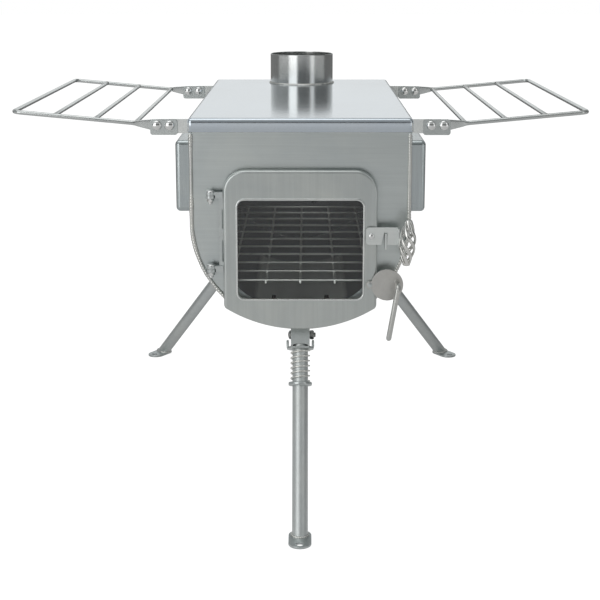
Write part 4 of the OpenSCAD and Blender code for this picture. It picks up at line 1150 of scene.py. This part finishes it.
@dataclass
class Door:
    """The pressed door with its window, the glass behind it, its seal and its hinge parts."""

    window: Triple = (141.6, 114.0, 7.3)
    window_z: float = 319.0
    depth: float = 9.0
    sheet: float = 1.5
    bend: float = 3.0
    lip: float = 1.8
    proud: float = 1.2
    back: float = -3.0
    rope_off: float = 8.5
    rope_y: float = -2.85
    rope_half: Pair = (2.5, 1.85)

    def window_outline(self, offset: float) -> Points:
        """The window's outline grown by an offset."""
        w, h, r = self.window
        return rounded_box(w + 2 * offset, h + 2 * offset, r + offset, 12) + np.array([0, self.window_z])

    def section(self) -> Points:
        """Section from the window's back edge over its lip, the face, the bend and the skirt.

        Heights run from the skirt's end at 0 to the face at the door's depth; the lip is a
        half round of the sheet's own fold.
        """
        face, top = self.depth, self.depth + self.proud
        lip = [[0, 0, face - self.sheet], [0, 0, top - 0.5], [0, 0.15, top - 0.12], [0, 0.5, top],
               [0, self.lip - 0.6, top], [0, self.lip - 0.15, top - 0.2], [0, self.lip + 0.1, face + 0.4],
               [0, self.lip + 0.5, face], [0, self.lip + 1.2, face]]
        outside, inside = fold(self.bend, self.sheet, face, 6)
        skirt = [[1, 0, 0.4], [1, 0.4, 0], [1, self.sheet - 0.3, 0], [1, self.sheet, 0.3]]
        return np.concatenate([lip, [[1, self.bend + 0.7, face]], outside, skirt, inside])

    def rope(self) -> Surface:
        """The braided rope along the mouth.

        Its section (A cos v, B sin v) shrinks by 0.14 |sin(3 v + k s) sin(3 v - k s)|, where s
        is the length along it and k makes whole waves of about 5.2 mm, so that two sets of
        strands cross.
        """
        step, wave_length = 0.7, 5.2
        path = upright(even_loop(MOUTH_ARCH.outline(-self.rope_off, 24), step), self.rope_y)
        turn = np.linspace(0, 2 * np.pi, 28, endpoint=False)[None]
        waves = np.round(len(path) * step / wave_length)
        wave = 2 * np.pi * waves / len(path) * np.arange(len(path))[:, None]
        relief = 1 - 0.14 * np.abs(np.sin(3 * turn + wave) * np.sin(3 * turn - wave))
        profile = flat_oval(*self.rope_half, 2, 28)[None] * relief[..., None]
        return carried(profile, path, (0, 1, 0), ring_u=True)

    def build(self, shop: Workshop) -> None:
        """Makes the skin and the rope, and dresses the glass and what holds it."""
        skin = pressed_panel(DOOR_ARCH.outline, self.window_outline, (0, self.window_z), self.section())
        shop.piece("door_pressing", skin.placed(facing_front(y=self.back)), SATIN_DOOR, "door", "door_skin")
        line = even_loop(self.window_outline(self.lip / 2 + 0.1), 1.2)
        path = upright(line, DOOR_FACE - self.proud + 0.75)
        lip = carried(flat_oval(1.15, 0.95, 2.4, 16), path, (0, 1, 0), ring_u=True)
        shop.piece("window_lip", lip, LIP, "door")
        shop.piece("braided_seal", self.rope(), ROPE, "door", "seal_rope", crease=70)
        shop.dress(GLASS, "window_glass")
        shop.dress(ROPE, "glass_tape")
        shop.dress(SATIN, "glass_frame")
        shop.dress(CHROME, "glass_clips")


@dataclass
class Hinges:
    """The two hinges: lugs on the front plate, knuckles on the door, bolts through both."""

    x: float = -101.2
    y: float = -8.0
    tops: Pair = (385.0, 300.0)
    barrel: float = 3.5
    gap: float = 0.3
    bolt_r: float = 2.5
    head: Pair = (4.7, 2.6)
    nut: Pair = (7.7, 3.6)
    tail: float = 3.0

    def build(self, shop: Workshop) -> None:
        """Dresses the sheet parts and makes the bolts with domed heads and nuts."""
        shop.dress(PLATE, "hinge_lugs", "hinge_knuckles", "hinge_strip")
        parts = []
        for top in self.tops:
            under = top - 2 * self.barrel - self.gap
            parts.append(dome(*self.head).placed(moved(self.x, self.y, top + 0.05)))
            parts.append(nut(*self.nut).placed(moved(self.x, self.y, under - self.nut[1])))
            shank = thread(self.bolt_r, self.tail + self.nut[1] + 0.5)
            parts.append(shank.placed(moved(self.x, self.y, under + 0.5) @ spun("x", 180)))
        shop.piece("hinge_pins", together(*parts), CHROME, "stove", "hinge_bolts")


@dataclass
class Latch:
    """The latch: a lifting bar with a flange, its screw, the catch and the wire cage handle."""

    pivot: Pair = (80.2, 336.0)
    bar_front: float = -16.0
    spacer: Pair = (4.5, 1.45)
    head: Pair = (3.6, 2.4)
    stem: float = 6.2
    cage: Triple = (119.7, -30.2, 305.0)
    cage_l: float = 53.0
    cage_r: float = 8.5
    neck_r: float = 2.7
    wires: int = 5
    twist: float = 250.0
    swell: float = 1.05
    flat: Pair = (1.25, 2.0)
    lean: float = 2.4
    cap: Pair = (4.2, 3.0)

    def cage_wire(self, k: int) -> Surface:
        """Flat wire k of n: radius q + (R - q) sin(pi s)^swell at the angle 360 k / n - twist s."""
        s = np.linspace(0, 1, 90)
        a = np.radians(360 * k / self.wires - self.twist * s)
        r = self.neck_r + (self.cage_r - self.neck_r) * np.sin(np.pi * s) ** self.swell
        h = self.cap[1] / 2 + s * (self.cage_l - self.cap[1])
        line = np.column_stack([r * np.cos(a), r * np.sin(a), h])
        thin, wide = self.flat
        out = np.column_stack([np.cos(a), np.sin(a), np.zeros(90)])
        return carried(flat_oval(wide, thin, 2.6, 18), line, out)

    def cap_end(self) -> Surface:
        """One cap on Z 0: a bowl (r cos a, 0.55 h (1 + sin a)) under a short neck."""
        r, h = self.cap
        a = np.linspace(-np.pi / 2, 0, 8)
        bowl = np.column_stack([r * np.cos(a), h * 0.55 + h * 0.55 * np.sin(a)])
        return turned(np.concatenate([bowl, [[r, h * 0.8], [r * 0.8, h], [0.3, h]]]), 32)

    def build(self, shop: Workshop) -> None:
        """Dresses the bar and the catch and makes the screw and the cage."""
        shop.dress(LATCH_BAR, "latch_bar", "latch_catch")
        screw = pivot_pin(*self.pivot, self.spacer, self.head, self.bar_front - 0.3, self.stem)
        shop.piece("latch_pivot", screw, CHROME, "door", "latch_screw")
        parts = [self.cage_wire(k) for k in range(self.wires)]
        parts += [self.cap_end(), self.cap_end().placed(moved(z=self.cage_l) @ spun("x", 180))]
        hang = moved(*self.cage) @ moved(z=self.cage_l / 2) @ spun("y", self.lean) @ moved(z=-self.cage_l / 2)
        shop.piece("twisted_cage", together(*parts).placed(hang), CAGE, "latch", "cage_handle")


@dataclass
class AirFlap:
    """The air flap: a disc that turns on a rivet in the door, with a hanging lever."""

    pivot: Pair = (78.8, 279.4)
    disc: Pair = (98.7, 18.2)
    lug_r: float = 4.2
    front: float = -15.7
    back: float = -14.2
    rivet: Pair = (2.9, 0.9)
    spacer_r: float = 3.6
    stem: float = 5.4
    lever_at: Pair = (109.9, 281.7)
    lever_r: float = 3.0
    reach: float = 20.0
    bend: float = 6.0
    hang: float = 60.0
    tilt: float = 9.5

    def outline(self) -> Points:
        """The disc and its lug: a circle cut by a strip that ends in a half circle."""
        centre, r = self.disc
        cut = 180 - math.degrees(math.asin(self.lug_r / r))
        big = arc((centre, self.pivot[1]), r, -cut, cut, 90)
        return np.concatenate([big, arc(self.pivot, self.lug_r, 90, 270, 20)])

    def lever(self) -> Surface:
        """The lever: out from the disc, round a bend and down to its round end."""
        turn = arc((self.bend, -self.bend), self.bend, 90, 180, 14)
        flat = np.concatenate([[[self.reach + 1.2, 0], [self.reach * 0.6, 0]], turn,
                               [[0, -self.hang / 2], [0, -self.hang - self.lever_r]]])
        line = np.column_stack([np.zeros(len(flat)), flat])
        place = moved(self.lever_at[0], self.front - self.reach, self.lever_at[1]) @ spun("y", self.tilt)
        return rod(line, self.lever_r, up=(1, 0, 0), edge=self.lever_r, count=24).placed(place)

    def build(self, shop: Workshop) -> None:
        """Makes the disc, the lever and the rivet."""
        flat = plate(self.outline(), 0, self.back - self.front, 0.45)
        shop.piece("flap_disc", flat.placed(facing_front(y=self.back)), DISC, "air_flap", "air_disc")
        shop.piece("flap_lever", self.lever(), LEVER, "air_flap", "air_lever")
        spacer = (self.spacer_r, DOOR_FACE - self.back - 0.05)
        rivet = pivot_pin(*self.pivot, spacer, self.rivet, self.front - 0.05, self.stem)
        shop.piece("flap_rivet", rivet, PLATE, "door", "air_flap_rivet")


# ---------------------------------------------------------------- legs


@dataclass
class Leg:
    """One folding leg: bracket, bolt, tube with its foot, lock ring, spring and spring seat.

    Its own frame hangs from the bolt: Z runs up along the tube and the bracket's web is at -Y.
    """

    name: str
    y: float
    spin: float
    turn: float
    lean: float
    foot_xy: Pair
    foot_turn: float
    drop: float = 137.0
    tube_r: float = 9.0
    foot_r: float = 13.0
    foot_l: float = 20.0
    foot_t: float = 3.0
    weld_r: float = 1.6
    stake: Pair = (4.3, 25.0)
    bolt_x: float = 10.9
    bolt_r: float = 3.0
    head: Pair = (5.2, 3.4)
    nut: Pair = (9.4, 5.0)
    ring_z: Pair = (-17.3, -14.3)
    ring_fit: float = 9.12
    ring_half: Pair = (16.2, 12.2)
    ear: Pair = (2.9, 8.0)
    ear_top: float = -6.5
    spring_z: Pair = (-53.8, -18.5)
    spring_r: float = 10.6
    spring_wire: float = 1.0
    spring_turns: float = 6.0
    seat: Triple = (13.65, -59.5, -55.0)
    spring_give: float = 7 / 37.1

    def frame(self) -> np.ndarray:
        """From the leg's own frame to the stove's."""
        hang = moved(0, self.y, AXIS_Z) @ spun("y", self.spin) @ moved(0, 0, -self.drop)
        return hang @ spun("z", self.turn) @ spun("x", -self.lean)

    def foot_frame(self) -> np.ndarray:
        """From the foot plate's own frame, on the ground, to the stove's."""
        return moved(*self.foot_xy, 0) @ spun("z", self.foot_turn)

    def ground_cut(self, x: np.ndarray, y: np.ndarray) -> np.ndarray:
        """Height along the tube at which a line at (x, y) meets the foot plate's top."""
        m = self.frame()
        return (self.foot_t - m[2, 3] - m[2, 0] * x - m[2, 1] * y) / m[2, 2]

    def tube(self) -> Surface:
        """The tube: its top is crossed by a cylinder along X and its foot is cut flat.

        The top is (q r cos v, q r sin v, sqrt(r^2 - (q r sin v)^2)) for q from 0 to 1, and the
        wall runs from there down to the ground cut.
        """
        r = self.tube_r
        circle = ring(r, 64)
        share = np.array([0.02, 0.25, 0.5, 0.7, 0.85, 0.94, 0.985])[:, None, None]
        top = share * circle[None]
        cap = np.concatenate([top, np.sqrt(r**2 - top[..., 1:] ** 2) - 0.12 * share**8], -1)
        start = np.sqrt(r**2 - circle[:, 1] ** 2) - 0.5
        end = self.ground_cut(circle[:, 0], circle[:, 1])
        down = np.concatenate([[0.0, 0.01], np.linspace(0.06, 0.99, 24), [1.0]])[:, None]
        wall = np.empty((len(down), 64, 3))
        wall[..., :2] = circle[None]
        wall[..., 2] = start[None] + (end - start)[None] * down
        return lattice(np.concatenate([cap, wall]))

    def foot_weld(self) -> Surface:
        """The weld where the tube meets its plate, thick in front of the tube."""
        circle = ring(self.tube_r + 0.1, 220)
        cut = self.ground_cut(circle[:, 0], circle[:, 1])
        here = self.frame()
        line = np.column_stack([circle, cut]) @ here[:3, :3].T + here[:3, 3]
        line[:, 2] = self.foot_t + 0.3
        return bead(line, self.weld_r, (0, 0, 1), ring_u=True, pitch=2.1, seed=31)

    def foot(self) -> Surface:
        """The foot plate with its stake hole: a stadium with rounded edges."""
        def outer(inset: float) -> Points:
            r = self.foot_r - inset
            return np.concatenate([arc((0, 0), r, 0, 180, 30), arc((0, -self.foot_l), r, 180, 360, 30)])

        def hole(offset: float) -> Points:
            return ring(self.stake[0] + offset, 48) + np.array([0, -self.stake[1]])

        t = self.foot_t
        section = np.array([
            [0, 0.5, t], [0, 1.0, t], [1, 1.2, t], [1, 0.7, t], [1, 0.2, t - 0.2], [1, 0, t - 0.7],
            [1, 0, 0.5], [1, 0.3, 0.05], [1, 0.8, 0], [0, 0.4, 0], [0, 0, 0.4], [0, 0, t - 0.5],
            [0, 0.15, t - 0.15]])
        return pressed_panel(outer, hole, (0, -self.stake[1]), section)

    def spring(self) -> Surface:
        """The spring: a helix whose pitch closes up a little over its first and last turns.

        With s from 0 to 1 along its n turns and k = clamp(1 - n min(s, 1 - s) / 0.75), its
        height is s drawn towards the nearer end by 0.02 k (1 - k), times the spring's height.
        """
        low, high = self.spring_z
        s = np.linspace(0, 1, int(self.spring_turns * 28))
        a = 2 * np.pi * self.spring_turns * s
        near = np.clip(1 - np.minimum(s, 1 - s) * self.spring_turns / 0.75, 0, 1)
        drawn = s + np.where(s < 0.5, -1, 1) * near * (1 - near) * 0.02
        h = low + 0.1 + (high - low - 0.2) * drawn
        line = np.column_stack([self.spring_r * np.cos(a), self.spring_r * np.sin(a), h])
        out = np.column_stack([np.cos(a), np.sin(a), np.zeros(len(a))])
        return rod(line, self.spring_wire, up=out, edge=0.4, count=14)

    def lock_ring(self) -> Surface:
        """The lock ring: a washer with two ears bent up beside the bracket."""
        low, high = self.ring_z
        reach, half = self.ring_half
        thick, wide = self.ear
        cut = math.degrees(math.asin(half / reach))

        def outer(inset: float) -> Points:
            r, h = reach - 0.6 - inset, half - inset
            a = math.degrees(math.asin(h / r))
            return np.concatenate([arc((0, 0), r, -a, a, 16), arc((0, 0), r, 180 - a, 180 + a, 16)])

        def hole(offset: float) -> Points:
            return ring(self.ring_fit + offset, 64)

        section = np.array([
            [0, 0.3, high], [0, 0.7, high], [1, 1.1, high], [1, 0.6, high], [1, 0.15, high - 0.2],
            [1, 0, high - 0.6], [1, 0, low + 0.6], [1, 0.15, low + 0.2], [1, 0.6, low], [1, 1.1, low],
            [0, 0.3, low], [0, 0, low + 0.3], [0, 0, high - 0.3]])
        bend, mid, level = 2.2, reach - thick / 2, (low + high) / 2
        corner = arc((mid - bend, level + bend), bend, -90, 0, 8)
        flat = np.concatenate([
            [[reach - 5.4, level]], corner, [[mid, self.ear_top - 1.6], [mid + 0.05, self.ear_top]]])
        boxes = np.repeat(rounded_box(thick, wide, 0.7, 4)[None], len(flat), 0)
        boxes[-1] *= np.array([0.72, 0.84])
        ears = [carried(boxes, upright(flat * np.array([k, 1]), 0.0), (0, 1, 0)) for k in SIDES]
        return together(pressed_panel(outer, hole, (0, 0), section), *ears)

    def build(self, shop: Workshop) -> None:
        """Makes the leg's pieces and dresses its bracket."""
        here, n = self.frame(), self.name
        leg, r, x = f"{n}_leg", self.bolt_r, self.bolt_x
        shop.dress(PLATE, f"{n}_leg_bracket")
        head = dome(*self.head, skirt=0.8).placed(moved(-x) @ spun("y", -90))
        hexagon = nut(*self.nut).placed(moved(x) @ FACING_RIGHT)
        tail = thread(r, 2.0 + self.nut[1]).placed(moved(x) @ FACING_RIGHT)
        shank = turned(np.array([[r, 0.0], [r, 2 * x]]), 24).placed(moved(-x) @ FACING_RIGHT)
        bolt = together(head, hexagon, tail, shank).placed(here)
        shop.piece(f"{n}_bolt_and_nut", bolt, DARK_BOLT, "stove", f"{n}_leg_bolt")
        shop.piece(f"{n}_tube", self.tube().placed(here), TUBE, leg, f"{n}_leg_tube")
        shop.weld(f"{n}_foot_weld", self.foot_weld(), leg)
        shop.piece(f"{n}_foot_plate", self.foot().placed(self.foot_frame()), SATIN, leg, f"{n}_leg_foot")
        wide, low, high = self.seat
        flange = washer(self.tube_r + 0.02, wide, low, high, 1.6).placed(here)
        shop.piece(f"{n}_seat_flange", flange, PLATE, leg, f"{n}_spring_seat")
        shop.piece(f"{n}_ring_with_ears", self.lock_ring().placed(here), PLATE, f"{n}_ring", f"{n}_lock_ring")
        coil = shop.piece(f"{n}_coil", self.spring().placed(here), SPRING_WIRE, leg, f"{n}_spring")
        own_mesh(coil)


# ---------------------------------------------------------------- shelves


@dataclass
class Shelf:
    """One folding wire shelf with its ears, links, rivets and rack."""

    side: int
    ys: Pair = (20.0, 430.0)
    height: float = 457.0
    inner_x: float = 148.0
    outer_x: float = 162.5
    link_out: float = 3.3
    rivet_r: float = 2.5
    rivet_head: Pair = (5.6, 3.2)
    tilt: float = 5.3
    reach: float = 163.2
    corner: float = 8.0
    rod_r: float = 2.5
    bar_r: float = 2.35
    bars: tuple[float, ...] = (25.2, 71.2, 117.2)
    leaf_r: float = 7.0
    leaf_l: float = 23.3
    leaf_end: float = 3.25
    leaf_t: float = 3.0
    spot: Triple = (2.8, 3.0, 2.6)
    spot_in: float = 1.4

    def rack_frame(self) -> np.ndarray:
        """From the rack's own frame, at the outer pivots, to the stove's right side."""
        return moved(self.outer_x, 0, self.height) @ spun("y", -self.tilt)

    def arm(self) -> Surface:
        """The rack's rod with both flattened ends: a profile that changes along its path.

        Over the leaf, the half height is sqrt(r^2 - x^2) round the rivet, then falls evenly to
        the leaf's end and to the rod; the half thickness grows from the leaf's to the rod's.
        """
        first, last = self.ys
        x = np.concatenate([
            -self.leaf_r * np.cos(np.radians(np.linspace(4, 90, 12))),
            np.linspace(1.5, self.leaf_l, 12), np.linspace(self.leaf_l + 1, self.leaf_l + 9, 7)])
        slope = (self.leaf_r - self.leaf_end) / self.leaf_l
        tall = np.where(x <= 0, np.sqrt(np.maximum(self.leaf_r**2 - x**2, 0.0)), self.leaf_r - slope * x)
        ease = np.clip((x - self.leaf_l + 3) / 9, 0, 1)
        ease = ease * ease * (3 - 2 * ease)
        necked = (1 - ease) * np.maximum(tall, self.leaf_end * 0.9) + ease * self.rod_r
        tall = np.where(x > self.leaf_l - 3, necked, tall)
        thick = self.leaf_t / 2 + (self.rod_r - self.leaf_t / 2) * ease
        power = 7 - 5 * ease
        r = self.corner
        bend_near = arc((self.reach - r, first + r), r, -90, 0, 12)
        bend_far = arc((self.reach - r, last - r), r, 0, 90, 12)
        near = np.column_stack([x, np.full(len(x), first)])
        span = np.array([[self.reach * 0.5, first], [self.reach - r - 1, first]])
        mid = np.array([[self.reach, y] for y in np.linspace(first + r + 1, last - r - 1, 6)])
        flat = np.concatenate([near, span, bend_near, mid, bend_far, span[::-1] + [0, last - first],
                               near[::-1] + [0, last - first]])
        path = np.column_stack([flat, np.zeros(len(flat))])
        long = len(flat) - 2 * len(x)
        sizes = [np.concatenate([v, np.full(long, v[-1]), v[::-1]])[:, None] for v in (thick, tall, power)]
        return carried(flat_oval(*sizes, 32), path, (0, 0, 1))

    def cross_bars(self) -> list[Surface]:
        """The bars between the arms."""
        lines = [np.array([[x, y, 0.0] for y in np.linspace(*self.ys, 6)]) for x in self.bars]
        return [rod(line, self.bar_r) for line in lines]

    def welds(self) -> Surface:
        """The weld spots where the bars meet the arms: small ellipsoids with a wandering skin."""
        ball = turned(arc((0, 0), 1, -90, 90, 11), 20)
        rng = np.random.default_rng(12)
        size = np.diag([*self.spot, 1.0])
        spots = []
        for x in self.bars:
            for y, inward in zip(self.ys, (self.spot_in, -self.spot_in)):
                jitter = 1 + 0.05 * rng.standard_normal((len(ball.points), 1))
                lumpy = Surface(ball.points * jitter, ball.quads, ball.ends)
                spots.append(lumpy.placed(moved(x, y + inward) @ size))
        return together(*spots)

    def rivets(self) -> Surface:
        """The rivets through the links: a shank with a domed head on each cheek."""
        out, r = self.link_out, self.rivet_r
        shank = turned(np.array([[r, 0.0], [r, 2 * out]]), 24)
        head = dome(*self.rivet_head)
        rivet = together(shank.placed(facing_front(y=out)), head.placed(facing_front(y=-out)),
                         head.placed(moved(y=out) @ spun("x", -90)))
        places = [(x, y) for y in self.ys for x in (self.inner_x, self.outer_x)]
        return together(*[rivet.placed(moved(x, y, self.height)) for x, y in places])

    def build(self, shop: Workshop) -> None:
        """Makes the rack and the rivets, and dresses the links."""
        n = SIDE_NAMES[self.side]
        shop.dress(PLATE, f"{n}_shelf_links")
        place = self.rack_frame()
        rack = together(self.arm(), *self.cross_bars()).placed(place).mirrored(self.side)
        shop.piece(f"{n}_wire_rack", rack, WIRE, f"{n}_shelf", f"{n}_shelf_rack")
        shop.weld(f"{n}_rack_welds", self.welds().placed(place).mirrored(self.side), f"{n}_shelf")
        rivets = self.rivets().mirrored(self.side)
        shop.piece(f"{n}_domed_rivets", rivets, CHROME, f"{n}_links", f"{n}_link_rivets")


# ---------------------------------------------------------------- studio


@dataclass(frozen=True)
class Softbox:
    """A soft lamp: where it stands, what it faces, its size and its power."""

    name: str
    at: Triple
    facing: Triple
    size: Pair
    power: float


@dataclass
class Studio:
    """The camera at the photograph's place, the pale floor, the lamps and the bright room.

    The room holds its front, back, left, right and top brightness. A band or the horizon holds
    where a step starts and ends, as the Z of a direction, and the share or brightness that it
    leads to or comes from; the floor's brightness steps over its Y in metres.
    """

    camera_at: Triple = (0.0065, -1.74158, 0.6366)
    camera_down: float = 0.2074
    camera_turn: float = 0.00465
    lens: float = 78.918
    shift: float = -0.1
    floor_size: float = 30.0
    floor_glow: float = 0.9
    floor_near: Pair = (0.61, 0.72)
    floor_front_y: Pair = (-3.2, -0.9)
    floor_behind: float = 0.22
    floor_behind_y: Pair = (0.15, 0.6)
    floor_sides: Pair = (0.98, 0.84)
    room: tuple[float, float, float, float, float] = (0.18, 0.92, 0.42, 0.18, 0.4)
    back_band: Triple = (0.2, 0.4, 0.42)
    front_band: Triple = (0.2, 0.5, 0.5)
    horizon: Triple = (0.03, 0.075, 0.3)
    lamps: tuple[Softbox, ...] = (
        Softbox("key_box", (-1.08, -1.58, 0.80), (0.0, 0.0, 0.40), (1.15, 1.35), 6.6),
        Softbox("fill_box", (1.25, -1.35, 0.80), (0.0, 0.0, 0.40), (0.55, 1.40), 1.8),
        Softbox("top_box", (-0.4, -0.2, 2.3), (0.0, 0.0, 0.0), (1.8, 1.8), 11.0),
    )

    def aim(self, lamp: bpy.types.Object, box: Softbox) -> None:
        """Stands a lamp at its place and turns its -Z towards what it faces."""
        lamp.location = box.at
        x, y, z = np.asarray(box.at) - np.asarray(box.facing)
        lamp.rotation_euler = (math.atan2(math.hypot(x, y), z), 0.0, math.atan2(x, -y))

    def camera(self) -> None:
        """The camera, with a shift that puts the stove where the photograph has it."""
        data = bpy.data.cameras.new("camera")
        data.lens, data.sensor_width, data.shift_y = self.lens, 36.0, self.shift
        cam = linked("camera", data)
        cam.location = self.camera_at
        cam.rotation_euler = (math.pi / 2 - self.camera_down, 0.0, self.camera_turn)
        bpy.context.scene.camera = cam

    def lights(self) -> None:
        """The area lamps."""
        for box in self.lamps:
            data = bpy.data.lights.new(box.name, "AREA")
            data.shape, data.size, data.size_y = "RECTANGLE", *box.size
            data.energy = box.power
            self.aim(linked(box.name, data), box)

    def ramp(self, sheet: NodeSheet, value: Socket, start: float, end: float,
             low: float, high: float) -> Socket:
        """A smooth step from low at start to high at end."""
        return sheet.add(
            "ShaderNodeMapRange", interpolation_type="SMOOTHSTEP", Value=value,
            From_Min=start, From_Max=end, To_Min=low, To_Max=high).outputs["Result"]

    def pick(self, sheet: NodeSheet, share: Socket, first: bpy.types.Node,
             second: bpy.types.Node, surface: Socket) -> None:
        """Mixes two shaders into the surface: the first where the share is 0, the second at 1."""
        mix = sheet.add("ShaderNodeMixShader")
        sheet.feed((mix.inputs[0], share), (mix.inputs[1], first.outputs[0]),
                   (mix.inputs[2], second.outputs[0]), (surface, mix.outputs[0]))

    def world(self) -> None:
        """The room: white to the camera, and graded by direction for what the metal reflects.

        For a direction d of length 1, brightness is the sum of each wall's own times the square
        of d's share towards it, so that the walls melt into each other.
        """
        world = bpy.data.worlds.new("room")
        bpy.context.scene.world = world
        sheet, surface = emptied(world, "ShaderNodeOutputWorld")
        x, y, z = sheet.axes(sheet.add("ShaderNodeTexCoord").outputs["Generated"])
        front, back, left, right, top = self.room
        low, high, share = self.back_band
        band = self.ramp(sheet, z, low, high, back, back * share)
        low, high, upper = self.front_band
        near = self.ramp(sheet, z, low, high, front, upper)
        total = 0.0
        walls = ((y, -1.0, near), (y, 1.0, band), (x, -1.0, left), (x, 1.0, right), (z, 1.0, top))
        for axis, sign, bright in walls:
            share = sheet.maths("MAXIMUM", sheet.maths("MULTIPLY", axis, sign), 0.0)
            total = sheet.maths("MULTIPLY_ADD", sheet.maths("MULTIPLY", share, share), bright, total)
        low, high, dim = self.horizon
        total = sheet.maths("MULTIPLY", total, self.ramp(sheet, z, low, high, dim, 1.0))
        ray = sheet.add("ShaderNodeLightPath").outputs
        plain = sheet.add("ShaderNodeBackground", Color=(1, 1, 1, 1), Strength=1.0)
        graded = sheet.add("ShaderNodeBackground", Color=(0.98, 1.0, 1.0, 1), Strength=total)
        straight = sheet.maths("MAXIMUM", ray["Is Camera Ray"], ray["Is Transmission Ray"])
        self.pick(sheet, straight, graded, plain, surface)

    def floor(self) -> None:
        """The pale floor: it takes the lamps' light and the stove's shadow, and glows softly."""
        half = self.floor_size / 2
        mesh = bpy.data.meshes.new("floor")
        corners = np.array([[-half, -half, 0], [half, -half, 0], [half, half, 0], [-half, half, 0]])
        mesh.from_pydata(corners.tolist(), [], [[0, 1, 2, 3]])
        ground = linked("floor", mesh)
        mat = bpy.data.materials.new("pale_floor")
        sheet, surface = emptied(mat)
        ray = sheet.add("ShaderNodeLightPath").outputs
        matt = sheet.add("ShaderNodeBsdfDiffuse", Color=(0.4, 0.4, 0.4, 1))
        seen = sheet.maths("MAXIMUM", ray["Is Camera Ray"], ray["Is Transmission Ray"])
        glow = sheet.add("ShaderNodeEmission", Color=(1, 1, 1, 1),
                         Strength=sheet.maths("MULTIPLY", seen, self.floor_glow))
        lit = sheet.add("ShaderNodeAddShader")
        sheet.feed((lit.inputs[0], matt.outputs[0]), (lit.inputs[1], glow.outputs[0]))
        x, y, _ = sheet.axes(sheet.add("ShaderNodeTexCoord").outputs["Object"])
        near, far = self.floor_near
        front = self.ramp(sheet, y, *self.floor_front_y, far, near)
        behind = self.ramp(sheet, y, *self.floor_behind_y, 1.0, self.floor_behind / near)
        across = self.ramp(sheet, x, -1.0, 1.0, *self.floor_sides)
        strength = sheet.maths("MULTIPLY", sheet.maths("MULTIPLY", front, behind), across)
        mirrored = sheet.add("ShaderNodeEmission", Color=(1, 1, 1, 1), Strength=strength)
        self.pick(sheet, ray["Is Glossy Ray"], lit, mirrored, surface)
        mesh.materials.append(mat)

    def build(self) -> None:
        """Sets up the camera, the lamps, the room and the floor."""
        bpy.context.scene.view_settings.view_transform = "Standard"
        self.camera()
        self.lights()
        self.world()
        self.floor()


# ---------------------------------------------------------------- all together


LEGS = (
    Leg("front", 15.0, 0.0, 0.0, 23.3, (0.0, -75.01), 0.0),
    Leg("rear_left", 478.0, 33.7, 180.0, 31.3, (-230.753, 647.567), -33.0),
    Leg("rear_right", 478.0, -33.7, 180.0, 31.3, (230.753, 647.567), 33.0),
)


def main() -> None:
    """Builds the stove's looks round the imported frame."""
    logging.basicConfig(level=logging.INFO, format="%(message)s")
    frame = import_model()
    shop = Workshop(frame)
    Studio().build()
    windows, shelves = map(SideWindow, SIDES), map(Shelf, SIDES)
    front = (Door(), Hinges(), Latch(), AirFlap())
    for part in (Firebox(), Lid(), FlueCollar(), *windows, Grate(), *front, *LEGS, *shelves):
        part.build(shop)
    shop.dress(LIP, "shelf_ears")
    for name in ("window_glass", "side_glass_left", "side_glass_right"):
        frame["nodes"][name].visible_shadow = False


if __name__ == "__main__":
    main()
